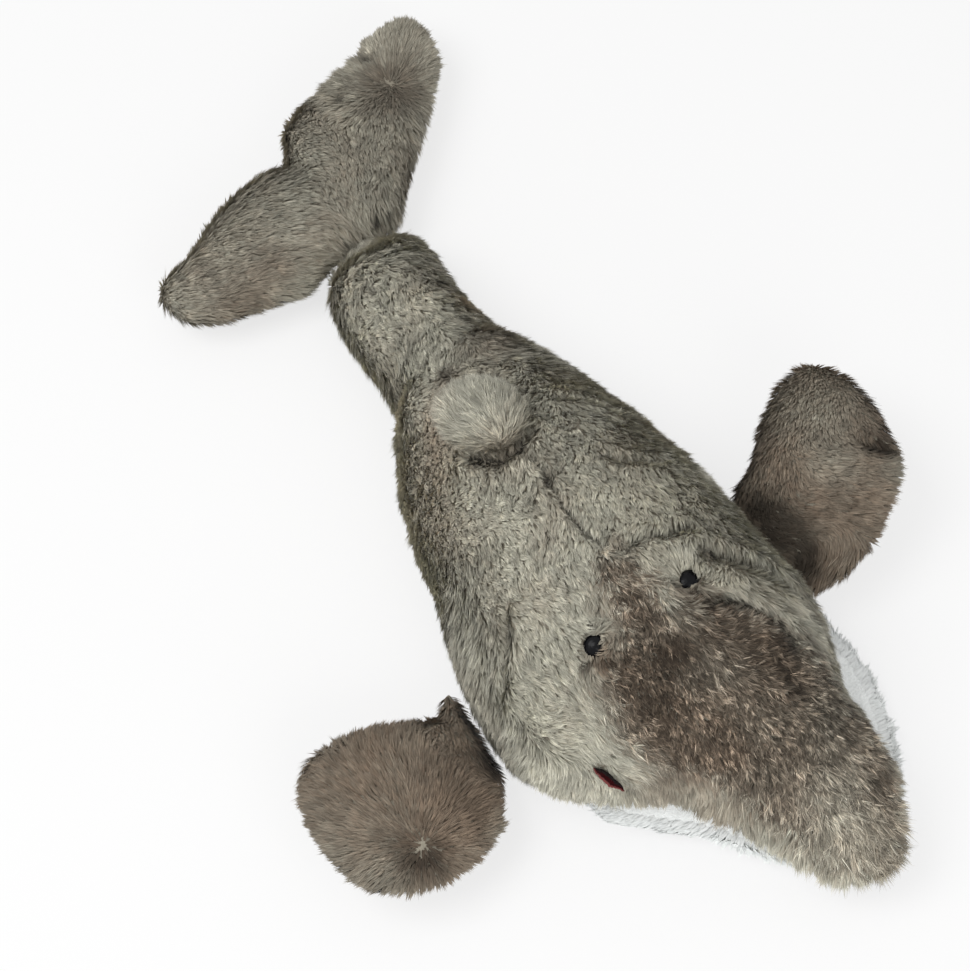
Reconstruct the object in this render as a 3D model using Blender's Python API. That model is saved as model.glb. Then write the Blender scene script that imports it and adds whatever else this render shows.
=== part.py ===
"""A plush whale lying on its belly, as an assembly of sewn covers, fillings and fittings.

The snout points along -Y, the tail along +Y and +Z is up. The whale's own right is -X.
Every stuffed form is a grid of rings. A cover is a strip of that grid with the fabric's
thickness, and a filling is the same grid moved in by the fabric and a gap.
"""

import math

import bmesh
import bpy
import numpy as np
from mathutils import Vector

# Driving sizes, in metres
BODY_LENGTH = 0.525  # crease seam before the flukes to the snout tip
BODY_WIDTH = 0.206  # across the cheeks
BODY_HEIGHT = 0.134  # floor to the top of the shoulders
SPINE_SWAY = 0.060  # how far the body bends sideways as it lies
FLUKE_SPAN = 0.264
FLUKE_CHORD = 0.106
FLUKE_THICKNESS = 0.036
FLUKE_SWEEP = 0.090  # how far the left tip lies behind the right one
FLIPPER_LENGTH = 0.115
FLIPPER_CHORD = 0.106
FLIPPER_THICKNESS = 0.030
FLIPPER_LEVEL = 0.027  # height of a flipper's middle above the floor
FLIPPER_SWEEP = 0.0375  # how far the left one's tip is swept to the tail
FLIPPER_TILTS = {"left": 18, "right": 8}  # how far each rises to its tip, in degrees
FLIPPER_ROOT = 0.008  # thickness of the sewn root, which is the hinge
FIN_HEIGHT = 0.036
FIN_CHORD = 0.050
FIN_THICKNESS = 0.044
FIN_ROOT = 0.008
JAW_WIDTH = 0.172
JAW_HEIGHT = 0.041
JAW_DEPTH = 0.118  # jaw pivot to the front of the chin
CHIN_RISE = 0.009  # how far the chin curves up off the floor
EYE_DIAMETER = 0.014
EYE_DOME = 0.006
SHANK_DIAMETER = 0.0046
SHANK_LENGTH = 0.013
WASHER_DIAMETER = 0.018
WASHER_THICKNESS = 0.0016
POUCH_LENGTH = 0.120
POUCH_WIDTH = 0.084
POUCH_HEIGHT = 0.030

# Fabric, gaps and cuts
COVER = 0.0035  # pile fabric with its backing, pressed flat
LIMB_COVER = 0.0025
GAP = 0.0004
STUFFING_GAP = 0.0008  # a filling stands this far inside its cover
MOUTH_GAP = 0.0020  # between the jaw and the roof of the mouth, over the facets
SOCKET_GAP = 0.0011  # running gap of the tail root in its seat, over the facets
OVERRUN = 0.010  # how far a cutter passes the face it opens

# Joint ranges that the shapes leave room for, in degrees
TAIL_SWING = 18

# Rings from the crease seam (0) to the snout tip (1), as shares. Columns: place along
# BODY_LENGTH; sideways place of SPINE_SWAY; half width of BODY_WIDTH; top, widest level
# and underside of BODY_HEIGHT.
BODY_SHARES = (
    (0.000, 0.117, 0.131, 0.230, 0.195, 0.160),
    (0.032, 0.033, 0.170, 0.385, 0.200, 0.065),
    (0.070, -0.017, 0.184, 0.475, 0.215, 0.040),
    (0.124, -0.100, 0.189, 0.530, 0.235, 0.035),
    (0.213, -0.150, 0.214, 0.625, 0.270, 0.068),
    (0.242, -0.150, 0.238, 0.662, 0.271, 0.022),
    (0.309, -0.225, 0.303, 0.745, 0.270, 0.000),
    (0.394, -0.317, 0.369, 0.875, 0.270, -0.004),
    (0.490, -0.375, 0.430, 0.970, 0.280, -0.004),
    (0.585, -0.467, 0.481, 1.000, 0.290, -0.004),
    (0.670, -0.508, 0.498, 0.955, 0.300, -0.004),
    (0.737, -0.500, 0.476, 0.845, 0.340, -0.004),
    (0.775, -0.358, 0.405, 0.765, 0.345, -0.004),
    (0.827, -0.092, 0.279, 0.655, 0.315, -0.004),
    (0.853, -0.017, 0.248, 0.590, 0.290, -0.004),
    (0.880, 0.037, 0.229, 0.535, 0.265, -0.004),
    (0.909, 0.083, 0.204, 0.470, 0.245, -0.004),
    (0.949, 0.075, 0.150, 0.385, 0.215, -0.004),
    (0.975, 0.092, 0.104, 0.330, 0.200, -0.004),
    (0.990, 0.133, 0.058, 0.280, 0.190, -0.004),
    (1.000, 0.167, 0.000, 0.205, 0.180, -0.004),
)
# The roof of the mouth along BODY_LENGTH, as shares of BODY_HEIGHT
ROOF_SHARES = (
    (0.693, 0.345), (0.744, 0.330), (0.826, 0.200), (0.899, 0.150), (0.966, 0.125),
    (1.000, 0.150),
)
# Fluke rings from the right tip (0) to the left tip (1): place along FLUKE_SPAN, middle
# of FLUKE_SWEEP, half chord of FLUKE_CHORD, half thickness of FLUKE_THICKNESS
FLUKE_SHARES = (
    (0.000, 0.400, 0.000, 0.00),
    (0.030, 0.370, 0.165, 0.22),
    (0.110, 0.337, 0.250, 0.38),
    (0.210, 0.392, 0.354, 0.46),
    (0.310, 0.420, 0.443, 0.50),
    (0.400, 0.487, 0.415, 0.50),
    (0.465, 0.470, 0.388, 0.44),
    (0.530, 0.622, 0.519, 0.48),
    (0.610, 0.678, 0.557, 0.52),
    (0.690, 0.809, 0.472, 0.52),
    (0.775, 0.942, 0.396, 0.50),
    (0.880, 1.148, 0.316, 0.44),
    (0.965, 1.281, 0.212, 0.28),
    (1.000, 1.353, 0.000, 0.00),
)
FLUKE_SHIFT_SHARE = 0.467  # how far along the span the right tip lies from the origin
# Flipper rings after the sewn root: place along FLIPPER_LENGTH, half chord of
# FLIPPER_CHORD, half thickness of FLIPPER_THICKNESS
FLIPPER_SHARES = (
    (0.000, 0.330, 0.120),
    (0.148, 0.400, 0.280),
    (0.298, 0.448, 0.420),
    (0.489, 0.495, 0.490),
    (0.687, 0.490, 0.490),
    (0.838, 0.443, 0.420),
    (0.917, 0.358, 0.330),
    (0.981, 0.160, 0.170),
    (1.000, 0.000, 0.000),
)
# Where the middles of those rings lie, towards the tail, of FLIPPER_SWEEP
FLIPPER_SWEEP_SHARES = {
    "left": (0.00, 0.00, 0.05, 0.29, 0.59, 0.75, 0.85, 0.99, 1.00),
    "right": (0.00, -0.50, -0.58, -0.60, -0.58, -0.52, -0.45, -0.43, -0.43),
}
FLIPPER_SHARE = 0.615  # middle of the flippers' roots along BODY_LENGTH
FIN_SHARES = (
    (0.000, 0.00, 0.310, 0.120),
    (0.240, 0.14, 0.420, 0.330),
    (0.450, 0.28, 0.500, 0.480),
    (0.650, 0.45, 0.490, 0.490),
    (0.830, 0.62, 0.380, 0.400),
    (0.950, 0.74, 0.210, 0.230),
    (1.000, 0.80, 0.000, 0.000),
)
FIN_SHARE = 0.394  # middle of the fin's root along BODY_LENGTH
FIN_LEAN_SHARE = 0.45  # how far the fin's tip leans to the tail, of its height
# The lower jaw from its pivot to the front of the chin: place along JAW_DEPTH, sideways
# place of SPINE_SWAY, half width of JAW_WIDTH
JAW_SHARES = (
    (0.00, -0.242, 0.509), (0.07, -0.225, 0.503), (0.22, -0.142, 0.485), (0.40, 0.067, 0.384),
    (0.60, 0.133, 0.302), (0.76, 0.133, 0.233), (0.93, 0.150, 0.110), (1.00, 0.165, 0.000),
)
# Places along BODY_LENGTH
TAIL_JOINT_SHARE, NECK_SHARE, THROAT_SHARE = 0.213, 0.601, 0.689
EYE_SHARE = 0.671
EYE_ANGLES = {"left": 76, "right": 113}  # round the head from its left side, in degrees
# The forehead gusset's two edges round the head, in degrees, along BODY_LENGTH
GUSSET_SHARES = (
    (0.601, 91, 97), (0.652, 89, 101), (0.703, 76, 116), (0.774, 48, 138), (0.917, 34, 146),
    (1.000, 34, 146),
)
LEFT_SEAM, BACK_SEAM, RIGHT_SEAM = -42, 98, 222  # round the body, in degrees
POUCH_SHARE = 0.479  # middle of the pellet pouch along BODY_LENGTH
SWELL = 2.0  # power of the rounded sections: 2 is an ellipse
LOW_SWELL = 2.6  # the slumped lower half is fuller

PILE_GREY = (0.235, 0.205, 0.165)
PILE_DARK = (0.160, 0.128, 0.100)
PILE_PALE = (0.420, 0.385, 0.320)
PILE_WHITE = (0.800, 0.850, 0.860)
FIBRE = (0.850, 0.850, 0.820)
SHEETING = (0.620, 0.600, 0.540)
LINING_RED = (0.220, 0.018, 0.022)
EYE_BLACK = (0.010, 0.010, 0.012)
WASHER_WHITE = (0.750, 0.750, 0.720)


def clear_scene():
    for old in list(bpy.data.objects):
        bpy.data.objects.remove(old, do_unlink=True)


def material(name, colour, roughness):
    found = bpy.data.materials.get(name)
    if found:
        return found
    made = bpy.data.materials.new(name)
    made.use_nodes = True
    shader = made.node_tree.nodes["Principled BSDF"]
    shader.inputs["Base Color"].default_value = (*colour, 1)
    shader.inputs["Roughness"].default_value = roughness
    shader.inputs["Metallic"].default_value = 0
    made.diffuse_color = (*colour, 1)
    return made


def along(table, at):
    """Values of a share table at the places at: cubic curves through its rows."""
    table = np.asarray(table, float)
    at = np.atleast_1d(np.asarray(at, float))
    knots, values = table[:, 0], table[:, 1:]
    slopes = np.gradient(values, knots, axis=0)
    k = np.clip(np.searchsorted(knots, at, side="right") - 1, 0, len(knots) - 2)
    step = (knots[k + 1] - knots[k])[:, None]
    t = (at[:, None] - knots[k][:, None]) / step
    low, high = values[k], values[k + 1]
    return (
        low * (1 + 2 * t) * (1 - t) ** 2
        + high * t**2 * (3 - 2 * t)
        + step * slopes[k] * t * (1 - t) ** 2
        - step * slopes[k + 1] * t**2 * (1 - t)
    )


def straight(table, at):
    """The same with straight lines between the rows."""
    table = np.asarray(table, float)
    return np.stack([np.interp(at, table[:, 0], column) for column in table[:, 1:].T], 1)


def rounded(angles, low_swell=SWELL):
    """Across and up on a unit section, for angles in degrees from its left side."""
    turn = np.radians(angles)
    cosine, sine = np.cos(turn), np.sin(turn)
    power = 2 / np.where(sine < 0, low_swell, SWELL)
    return (
        np.sign(cosine) * np.abs(cosine) ** power,
        np.sign(sine) * np.abs(sine) ** power,
    )


def body_place(share):
    """Y of a share of the body's length."""
    return BODY_LENGTH * (0.423 - np.asarray(share, float))


def body_share(place):
    return 0.423 - np.asarray(place, float) / BODY_LENGTH


def body_rows(shares):
    """Place, sideways place, half width, top, widest level and underside of each ring."""
    sway, half, top, level, under = along(BODY_SHARES, shares).T
    return [
        body_place(shares),
        sway * SPINE_SWAY,
        np.maximum(half, 0) * BODY_WIDTH,
        top * BODY_HEIGHT,
        level * BODY_HEIGHT,
        under * BODY_HEIGHT,
    ]


def body_grid(rows, angles, low_swell=LOW_SWELL):
    """Points of the body's rings. angles is one row for all rings or one row for each."""
    place, sway, half, top, level, under = (row[:, None] for row in rows)
    across, up = rounded(np.broadcast_to(angles, (len(place), np.shape(angles)[-1])), low_swell)
    x = sway + half * across
    z = level + np.where(up > 0, top - level, level - under) * up
    y = np.broadcast_to(place, x.shape)
    return np.stack([x, y, np.maximum(z, 0)], -1)


def shrunk(rows, depth, spare=0.0, pointed=False):
    """The rings of the same form moved in by depth and spare, but never closed.

    A pointed form also draws its point back: by the whole depth there, and less behind it.
    """
    place, sway, half, top, level, under = rows

    def moved(size):
        return size - np.minimum(depth, 0.6 * size) - np.minimum(spare, 0.3 * size)

    if pointed:
        inset = depth + spare
        place = place + inset * np.exp((place[-1] - place) / (4 * inset))
    return [
        place, sway, moved(half), level + moved(top - level), level,
        level - moved(level - under),
    ]


def triangles(vertex, outward):
    """Two triangles for each cell of a grid of vertex numbers, always on one diagonal."""
    a, b = vertex[:-1, :-1].ravel(), vertex[:-1, 1:].ravel()
    c, d = vertex[1:, 1:].ravel(), vertex[1:, :-1].ravel()
    pairs = ((a, b, c), (a, c, d)) if outward else ((a, c, b), (a, d, c))
    return [tuple(int(n) for n in face) for pair in pairs for face in zip(*pair)]


def finished(name, work, look, pivot):
    """An object from a worked mesh, with its faces turned outwards."""
    bmesh.ops.recalc_face_normals(work, faces=work.faces)
    if work.calc_volume(signed=True) < 0:
        bmesh.ops.reverse_faces(work, faces=work.faces)
    mesh = bpy.data.meshes.new(name)
    work.to_mesh(mesh)
    work.free()
    mesh.shade_smooth()
    mesh.set_sharp_from_angle(angle=math.radians(40))
    made = bpy.data.objects.new(name, mesh)
    bpy.context.scene.collection.objects.link(made)
    mesh.materials.append(look)
    made.parent = pivot
    return made


def solid(name, points, faces, look, pivot, shift=(0, 0, 0)):
    """A closed object from points in the body's frame, hung on its joint's pivot."""
    places = np.asarray(points) + shift - world_place(pivot)
    shape = bpy.data.meshes.new(f"{name} shape")
    shape.from_pydata(places.tolist(), [], faces)
    work = bmesh.new()
    work.from_mesh(shape)
    bpy.data.meshes.remove(shape)
    bmesh.ops.remove_doubles(work, verts=work.verts, dist=GAP / 100)
    bmesh.ops.dissolve_degenerate(work, edges=work.edges, dist=GAP / 100)
    return finished(name, work, look, pivot)


def strip(name, outer, inner, columns, look, pivot, direction):
    """A cover: the columns of two grids, joined along their borders and moved out a gap."""
    parts = [np.take(grid, columns, axis=1, mode="wrap") for grid in (outer, inner)]
    rows, wide = parts[0].shape[:2]
    number = np.arange(rows * wide).reshape(rows, wide)
    under = number + rows * wide
    faces = triangles(number, True) + triangles(under, False)
    for edge, lower, outward in (
        (number[0], under[0], True), (number[-1], under[-1], False),
        (number[:, 0], under[:, 0], False), (number[:, -1], under[:, -1], True),
    ):
        faces += triangles(np.stack([lower, edge]), outward)
    points = np.concatenate([part.reshape(-1, 3) for part in parts])
    shift = np.array(direction) / np.linalg.norm(direction) * GAP
    return solid(name, points, faces, look, pivot, shift)


def core(name, grid, look, pivot):
    """A closed filling: a grid whose rings close on themselves, with its two ends capped."""
    rows, wide = grid.shape[:2]
    number = np.arange(rows * wide).reshape(rows, wide)
    faces = triangles(np.column_stack([number, number[:, 0]]), True)
    faces += [tuple(int(n) for n in number[0][::-1]), tuple(int(n) for n in number[-1])]
    return solid(name, grid.reshape(-1, 3), faces, look, pivot)


def turned(name, profile, place, aim, look, pivot, steps=24):
    """A solid turned round the axis aim through place, from (radius, height) points."""
    work = bmesh.new()
    line = [work.verts.new((radius, 0, height)) for radius, height in profile]
    edges = [work.edges.new(pair) for pair in zip(line[:-1], line[1:])]
    bmesh.ops.spin(
        work, geom=line + edges, cent=(0, 0, 0), axis=(0, 0, 1), angle=math.tau, steps=steps
    )
    bmesh.ops.remove_doubles(work, verts=work.verts, dist=GAP / 100)
    made = finished(name, work, look, pivot)
    made.location = np.asarray(place) - world_place(pivot)
    made.rotation_mode = "QUATERNION"
    made.rotation_quaternion = aim
    return made


def cut(target, cutter):
    cutter.hide_render = True
    cutter.display_type = "WIRE"
    taken = target.modifiers.new(f"cut by {cutter.name}", "BOOLEAN")
    taken.operation = "DIFFERENCE"
    taken.solver = "EXACT"
    taken.object = cutter


def pivot_at(name, place, parent=None):
    """An empty on a joint's axis, at a place in the body's frame."""
    made = bpy.data.objects.new(name, None)
    made.empty_display_size = EYE_DIAMETER
    bpy.context.scene.collection.objects.link(made)
    made.parent = parent
    made.location = np.asarray(place) - (world_place(parent) if parent else 0)
    return made


def world_place(pivot):
    place = np.array(pivot.location)
    return place if pivot.parent is None else place + world_place(pivot.parent)


def limb_rows(table, sweeps, length, chord, thickness, root):
    """Place, sweep, half chord and half thickness of a limb's rings.

    The sewn root is rounded about the hinge, which is the first value that comes back: a
    circle of the root's thickness, from near its end to its widest ring.
    """
    table = np.asarray(table, float) * (length, chord, thickness)
    radius = root / 2
    turn = np.radians((25, 57, 90))
    start = radius * np.cos(turn[0])
    width = np.full(len(turn), table[0, 1])
    root_rows = np.stack(
        [start - radius * np.cos(turn), 0 * turn, width, radius * np.sin(turn)], 1
    )
    rest = np.column_stack([table[:, 0], sweeps, table[:, 1:]])[1:]
    return start, np.concatenate([root_rows, rest])


def limb_grid(place, axes, rows, angles, inset=0.0):
    """Rings of a limb: ellipses across its length, each swept sideways.

    axes are unit vectors along the limb, across it and through its thickness.
    """
    length, sweep, chord, thick = np.asarray(rows).T
    length = np.clip(length, 0, length[-1] - inset)
    chord = chord - np.minimum(inset, 0.6 * chord)
    thick = thick - np.minimum(inset, 0.6 * thick)
    across, up = rounded(angles)
    along_it, across_it, through_it = (np.asarray(axis, float) for axis in axes)
    return (
        np.asarray(place)
        + length[:, None, None] * along_it
        + (sweep[:, None] + chord[:, None] * across)[..., None] * across_it
        + (thick[:, None] * up)[..., None] * through_it
    )


def stuffed_limb(name, halves, place, axes, rows, looks, pivot, cover=LIMB_COVER):
    """Two sewn half covers round one filling. halves names the upper and lower cover."""
    columns = 14
    angles = np.linspace(0, 360, columns, endpoint=False)
    outer = limb_grid(place, axes, rows, angles)
    inner = limb_grid(place, axes, rows, angles, cover)
    half = columns // 2
    through = np.asarray(axes[2], float)
    for side, first, direction in zip(halves, (0, half), (through, -through)):
        strip(f"{name}_{side}", outer, inner, range(first, first + half + 1), looks[0], pivot,
              direction)
    thick = np.asarray(rows)[:, 3]
    stuffed = np.nonzero(thick > 2 * cover)[0]
    filled = limb_grid(place, axes, rows, angles, cover + STUFFING_GAP)
    filled = filled[stuffed[0]:stuffed[-1] + 1]
    core(f"{name}_filling", filled, looks[1], pivot)


def body_angles(breaks, counts):
    """Angles of the columns round each ring, from the seams' angles at each ring.

    Gives the angles and the first column of each panel; the last panel ends at the first
    column again.
    """
    breaks = np.asarray(breaks, float)
    runs = [
        np.linspace(breaks[k], breaks[k + 1], count, endpoint=False)
        for k, count in enumerate(counts)
    ]
    angles = np.concatenate(runs).T
    first = np.cumsum([0, *counts])
    return (angles + 180) % 360 - 180, first


def panel_columns(first, k):
    return range(first[k], first[k + 1] + 1)


def at_surface(share, angle, low_swell=LOW_SWELL):
    """A point on the body's skin, the way out there, and the way along it to the tail."""
    step = 1e-4
    shares = np.array([share - step, share, share + step])
    turns = np.array([angle - 1, angle, angle + 1.0])
    grid = body_grid(body_rows(shares), turns, low_swell)
    to_tail = grid[0, 1] - grid[2, 1]
    out = np.cross(grid[1, 2] - grid[1, 0], to_tail)
    to_tail, out = to_tail / np.linalg.norm(to_tail), out / np.linalg.norm(out)
    middle = grid[1].mean(0) * (1, 1, 0)
    if (out * (grid[1, 1] - middle)).sum() < 0:
        out = -out
    return grid[1, 1], out, to_tail


def tail_seat():
    """The tail joint's place and the half sizes of its rounded root."""
    row = [float(value[0]) for value in body_rows([TAIL_JOINT_SHARE])]
    place, sway, half, top, level, under = row
    return np.array([sway, place, level]), half, top - level, level - under


def dome_rows(centre, half, high, low, turns):
    """Rings of a half ellipsoid that bulges to the snout, from its rim to its pole."""
    turns = np.radians(turns)
    flat = np.cos(turns)
    return [
        centre[1] - half * np.sin(turns),
        np.full(len(turns), centre[0]),
        half * flat,
        centre[2] + high * flat,
        np.full(len(turns), centre[2]),
        centre[2] - low * flat,
    ]


def make_torso(torso, looks):
    """Two back panels that meet at the back seam, the belly panel, filling and pouch."""
    centre, half, high, low = tail_seat()
    rim = half * math.sin(math.radians(TAIL_SWING)) + COVER / 2
    start = TAIL_JOINT_SHARE + rim / BODY_LENGTH
    shares = np.linspace(start, NECK_SHARE - GAP / BODY_LENGTH, 11)
    rows = body_rows(shares)
    level_angles = np.repeat([[LEFT_SEAM], [BACK_SEAM], [RIGHT_SEAM], [LEFT_SEAM + 360]], 11, 1)
    angles, first = body_angles(level_angles, (8, 8, 5))
    outer = body_grid(rows, angles)
    inner = body_grid(shrunk(rows, COVER), angles)
    for k, (name, look, direction) in enumerate((
        ("back_panel_left", looks["grey"], (1, 0, 0.4)),
        ("back_panel_right", looks["grey"], (-1, 0, 0.4)),
        ("belly_panel", looks["white"], (0, 0, -1)),
    )):
        strip(name, outer, inner, panel_columns(first, k), look, torso, direction)
    seat_start = math.degrees(math.asin(rim / (half + SOCKET_GAP)))
    seat = dome_rows(
        centre, half + SOCKET_GAP, high + SOCKET_GAP, low + SOCKET_GAP,
        np.linspace(90, seat_start, 6),
    )
    hollow = body_grid(seat, angles[:1], SWELL)
    filled = np.concatenate([hollow, body_grid(shrunk(rows, COVER, STUFFING_GAP), angles)])
    filling = core("body_filling", filled, looks["fibre"], torso)
    pouch_grid = pouch_rings()
    core("pellet_pouch", pouch_grid, looks["sheeting"], torso)
    space = pouch_rings(GAP)
    low = space[..., 2] < pouch_grid[0, 0, 2] - GAP
    space[..., 2] = np.where(low, -OVERRUN, space[..., 2])
    cut(filling, core("pouch_space", space, looks["fibre"], torso))


def pouch_rings(spare=0.0):
    """The pellet pouch: an ellipsoid pressed flat on the belly panel."""
    turn = np.radians(np.linspace(0, 180, 9))
    angles = np.linspace(0, 360, 16, endpoint=False)
    across, up = rounded(angles)
    sway = float(body_rows([POUCH_SHARE])[1][0])
    floor = COVER + 2 * GAP
    width = (POUCH_WIDTH / 2 + spare) * np.sin(turn)[:, None] * across
    tall = (POUCH_HEIGHT / 2 + spare) * np.sin(turn)[:, None] * up
    place = body_place(POUCH_SHARE) + (POUCH_LENGTH / 2 + spare) * np.cos(turn)[:, None]
    height = np.maximum(floor + POUCH_HEIGHT / 3 + tall, floor)
    return np.stack([sway + width, np.broadcast_to(place, width.shape), height], -1)


def head_grids():
    """The head's outside, its covers' inside and its filling, as grids.

    Also gives its panels' columns and how many rings lie behind the mouth. The throat's
    wall is upright, so the two rings that bound it move to the tail as they move in.
    """
    throat = [NECK_SHARE + GAP / BODY_LENGTH, 0.632, 0.662, THROAT_SHARE]
    snout = [THROAT_SHARE + COVER / BODY_LENGTH, 0.718, 0.749, 0.785, 0.820, 0.861, 0.902,
             0.943, 0.970, 0.988, 1.000]
    shares = np.array(throat + snout)
    rows = body_rows(shares)
    roof = np.interp(shares, *zip(*ROOF_SHARES)) * BODY_HEIGHT
    in_mouth = shares > THROAT_SHARE
    rows[5] = np.where(in_mouth, roof, rows[5])
    rise = np.clip((shares - NECK_SHARE) / (THROAT_SHARE - NECK_SHARE), 0, 1) ** 2
    rows[4] += rise * np.maximum(roof + 2 * COVER - rows[4], 0)
    rows[3] = np.maximum(rows[3], rows[4] + 2 * COVER)
    rows[3][-1] = rows[5][-1] = rows[4][-1]
    low, high = straight(GUSSET_SHARES, shares).T
    same = np.ones(len(shares))
    breaks = (LEFT_SEAM * same, low, high, RIGHT_SEAM * same, (LEFT_SEAM + 360) * same)
    angles, first = body_angles(breaks, (6, 4, 6, 5))
    grids = [body_grid(rows, angles)]
    for spare in (0.0, STUFFING_GAP):
        moved = shrunk(rows, COVER, spare, pointed=True)
        moved[0][3:5] += COVER + spare
        grids.append(body_grid(moved, angles))
    return grids, first, len(throat)


def make_head(torso, looks):
    (outer, inner, filled), first, behind = head_grids()
    for k, (name, look, direction) in enumerate((
        ("cheek_panel_left", looks["grey"], (1, 0, 0)),
        ("forehead_gusset", looks["dark"], (0, 0, 1)),
        ("cheek_panel_right", looks["grey"], (-1, 0, 0)),
    )):
        strip(name, outer, inner, panel_columns(first, k), look, torso, direction)
    under = panel_columns(first, 3)
    strip("throat_panel", outer[:behind + 1], inner[:behind + 1], under, looks["white"], torso,
          (0, 0.5, -1))
    roof = np.stack([outer[behind:], inner[behind:]])
    trim = 3 * GAP / (roof[0, 0, 0, 1] - roof[0, 1, 0, 1])
    roof[:, 0] += trim * (roof[:, 1] - roof[:, 0])
    strip("mouth_lining", *roof, under, looks["red"], torso, (0, 0, -1))
    core("head_filling", filled, looks["fibre"], torso)


def fit_eyes(torso, looks):
    """Safety eyes: a dome and shank through the cover, held by a washer behind it."""
    sink = COVER * 0.3
    seat = COVER - sink
    filling = bpy.data.objects["head_filling"]
    for side, angle in EYE_ANGLES.items():
        place, out, _ = at_surface(EYE_SHARE, angle)
        aim = Vector(out).to_track_quat("Z", "Y")
        eye, shank, washer = EYE_DIAMETER / 2, SHANK_DIAMETER / 2, WASHER_DIAMETER / 2
        turns = np.radians(np.linspace(90, 0, 7))
        dome = [(eye * math.cos(t), EYE_DOME * (0.15 + 0.85 * math.sin(t))) for t in turns]
        place = place - out * sink
        turned(f"eye_{side}", [*dome, (eye, 0), (shank, 0), (shank, -SHANK_LENGTH),
                               (0, -SHANK_LENGTH)], place, aim, looks["eye"], torso)
        hold = seat + 2 * GAP
        turned(f"eye_washer_{side}", [
            (shank + GAP, -hold), (washer, -hold), (washer, -hold - WASHER_THICKNESS),
            (shank + GAP, -hold - WASHER_THICKNESS), (shank + GAP, -hold),
        ], place, aim, looks["washer"], torso, 16)
        space = turned(f"eye_space_{side}", [
            (0, OVERRUN), (eye + GAP, OVERRUN), (eye + GAP, -GAP), (shank + GAP, -GAP),
            (shank + GAP, -seat + GAP), (washer + GAP, -seat + GAP),
            (washer + GAP, -SHANK_LENGTH - 2 * GAP), (0, -SHANK_LENGTH - 2 * GAP),
        ], place, aim, looks["fibre"], torso)
        cut(bpy.data.objects[f"cheek_panel_{side}"], space)
        cut(filling, space)


def jaw_place():
    """The jaw's pivot: its rounded rear end stands clear of the throat's wall."""
    wall = body_place(THROAT_SHARE) - COVER
    return 0, float(wall) - 2 * GAP - JAW_HEIGHT / 2, JAW_HEIGHT / 2 + 4 * GAP


def make_jaw(jaw, looks):
    """The lower jaw: a pad under the mouth's roof, rounded about its pivot behind."""
    shares = np.array([0.0, 0.16, 0.32, 0.48, 0.64, 0.78, 0.90, 0.97, 1.0])
    sway, half = along(JAW_SHARES, shares).T
    _, pivot_y, pivot_z = world_place(jaw)
    radius = JAW_HEIGHT / 2
    place = pivot_y - shares * JAW_DEPTH
    roof = np.interp(body_share(place), *zip(*ROOF_SHARES)) * BODY_HEIGHT - MOUTH_GAP
    top = np.minimum(roof, pivot_z + radius)
    under = pivot_z - radius + CHIN_RISE * shares**2
    level = (top + under) / 2
    closing = np.sqrt(1 - shares**6)
    turn = np.radians((25, 50, 70))
    same = np.ones(len(turn))
    behind = (
        pivot_y + radius * np.cos(turn), sway[0] * SPINE_SWAY * same,
        half[0] * JAW_WIDTH * same, pivot_z + radius * np.sin(turn), pivot_z * same,
        pivot_z - radius * np.sin(turn),
    )
    before = (
        place, sway * SPINE_SWAY, np.maximum(half, 0) * JAW_WIDTH,
        level + (top - level) * closing, level, level - (level - under) * closing,
    )
    rows = [np.concatenate(pair) for pair in zip(behind, before)]
    breaks = np.repeat([[20], [160], [380]], len(rows[0]), 1)
    angles, first = body_angles(breaks, (6, 10))
    outer = body_grid(rows, angles)
    inner = body_grid(shrunk(rows, COVER, pointed=True), angles)
    strip("jaw_lining", outer, inner, panel_columns(first, 0), looks["red"], jaw, (0, 0, 1))
    strip("chin_panel", outer, inner, panel_columns(first, 1), looks["white"], jaw, (0, 0, -1))
    filled = body_grid(shrunk(rows, COVER, STUFFING_GAP, pointed=True), angles)
    stuffed = np.nonzero(rows[3] - rows[5] > 4 * COVER)[0]
    core("jaw_filling", filled[1:stuffed[-1] + 1], looks["fibre"], jaw)


def make_stock(stock, looks):
    """The tail stock: from its rounded root in the torso's seat to the pinched crease."""
    centre, *halves = tail_seat()
    shares = np.array([0.0, 0.015, 0.036, 0.065, 0.100, 0.140, 0.175, TAIL_JOINT_SHARE])
    straight_part = body_rows(shares)
    breaks = np.repeat([[-90], [90], [270]], len(shares) + 5, 1)
    angles, first = body_angles(breaks, (8, 8))
    grids = []
    for depth, spare in ((0.0, 0.0), (COVER, 0.0), (COVER, STUFFING_GAP)):
        dome = dome_rows(centre, *(half - depth - spare for half in halves), (22, 44, 64, 80, 90))
        rows = [np.concatenate(pair) for pair in zip(shrunk(straight_part, depth, spare), dome)]
        grids.append(body_grid(rows, angles, SWELL))
    outer, inner, filled = grids
    strip("stock_panel_left", outer, inner, panel_columns(first, 0), looks["grey"], stock,
          (1, 0, 0))
    strip("stock_panel_right", outer, inner, panel_columns(first, 1), looks["grey"], stock,
          (-1, 0, 0))
    core("stock_filling", filled, looks["fibre"], stock)


def make_flukes(flukes, looks):
    """One lens-shaped form from tip to tip; its front edge lies along the crease."""
    place = world_place(flukes)
    rows = np.asarray(FLUKE_SHARES) * (FLUKE_SPAN, FLUKE_SWEEP, FLUKE_CHORD, FLUKE_THICKNESS)
    corner = place + (-place[0] - FLUKE_SHIFT_SHARE * FLUKE_SPAN, 3 * GAP, 0)
    stuffed_limb("fluke", ("top", "bottom"), corner, np.eye(3), rows,
                 (looks["grey"], looks["fibre"]), flukes)


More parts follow.
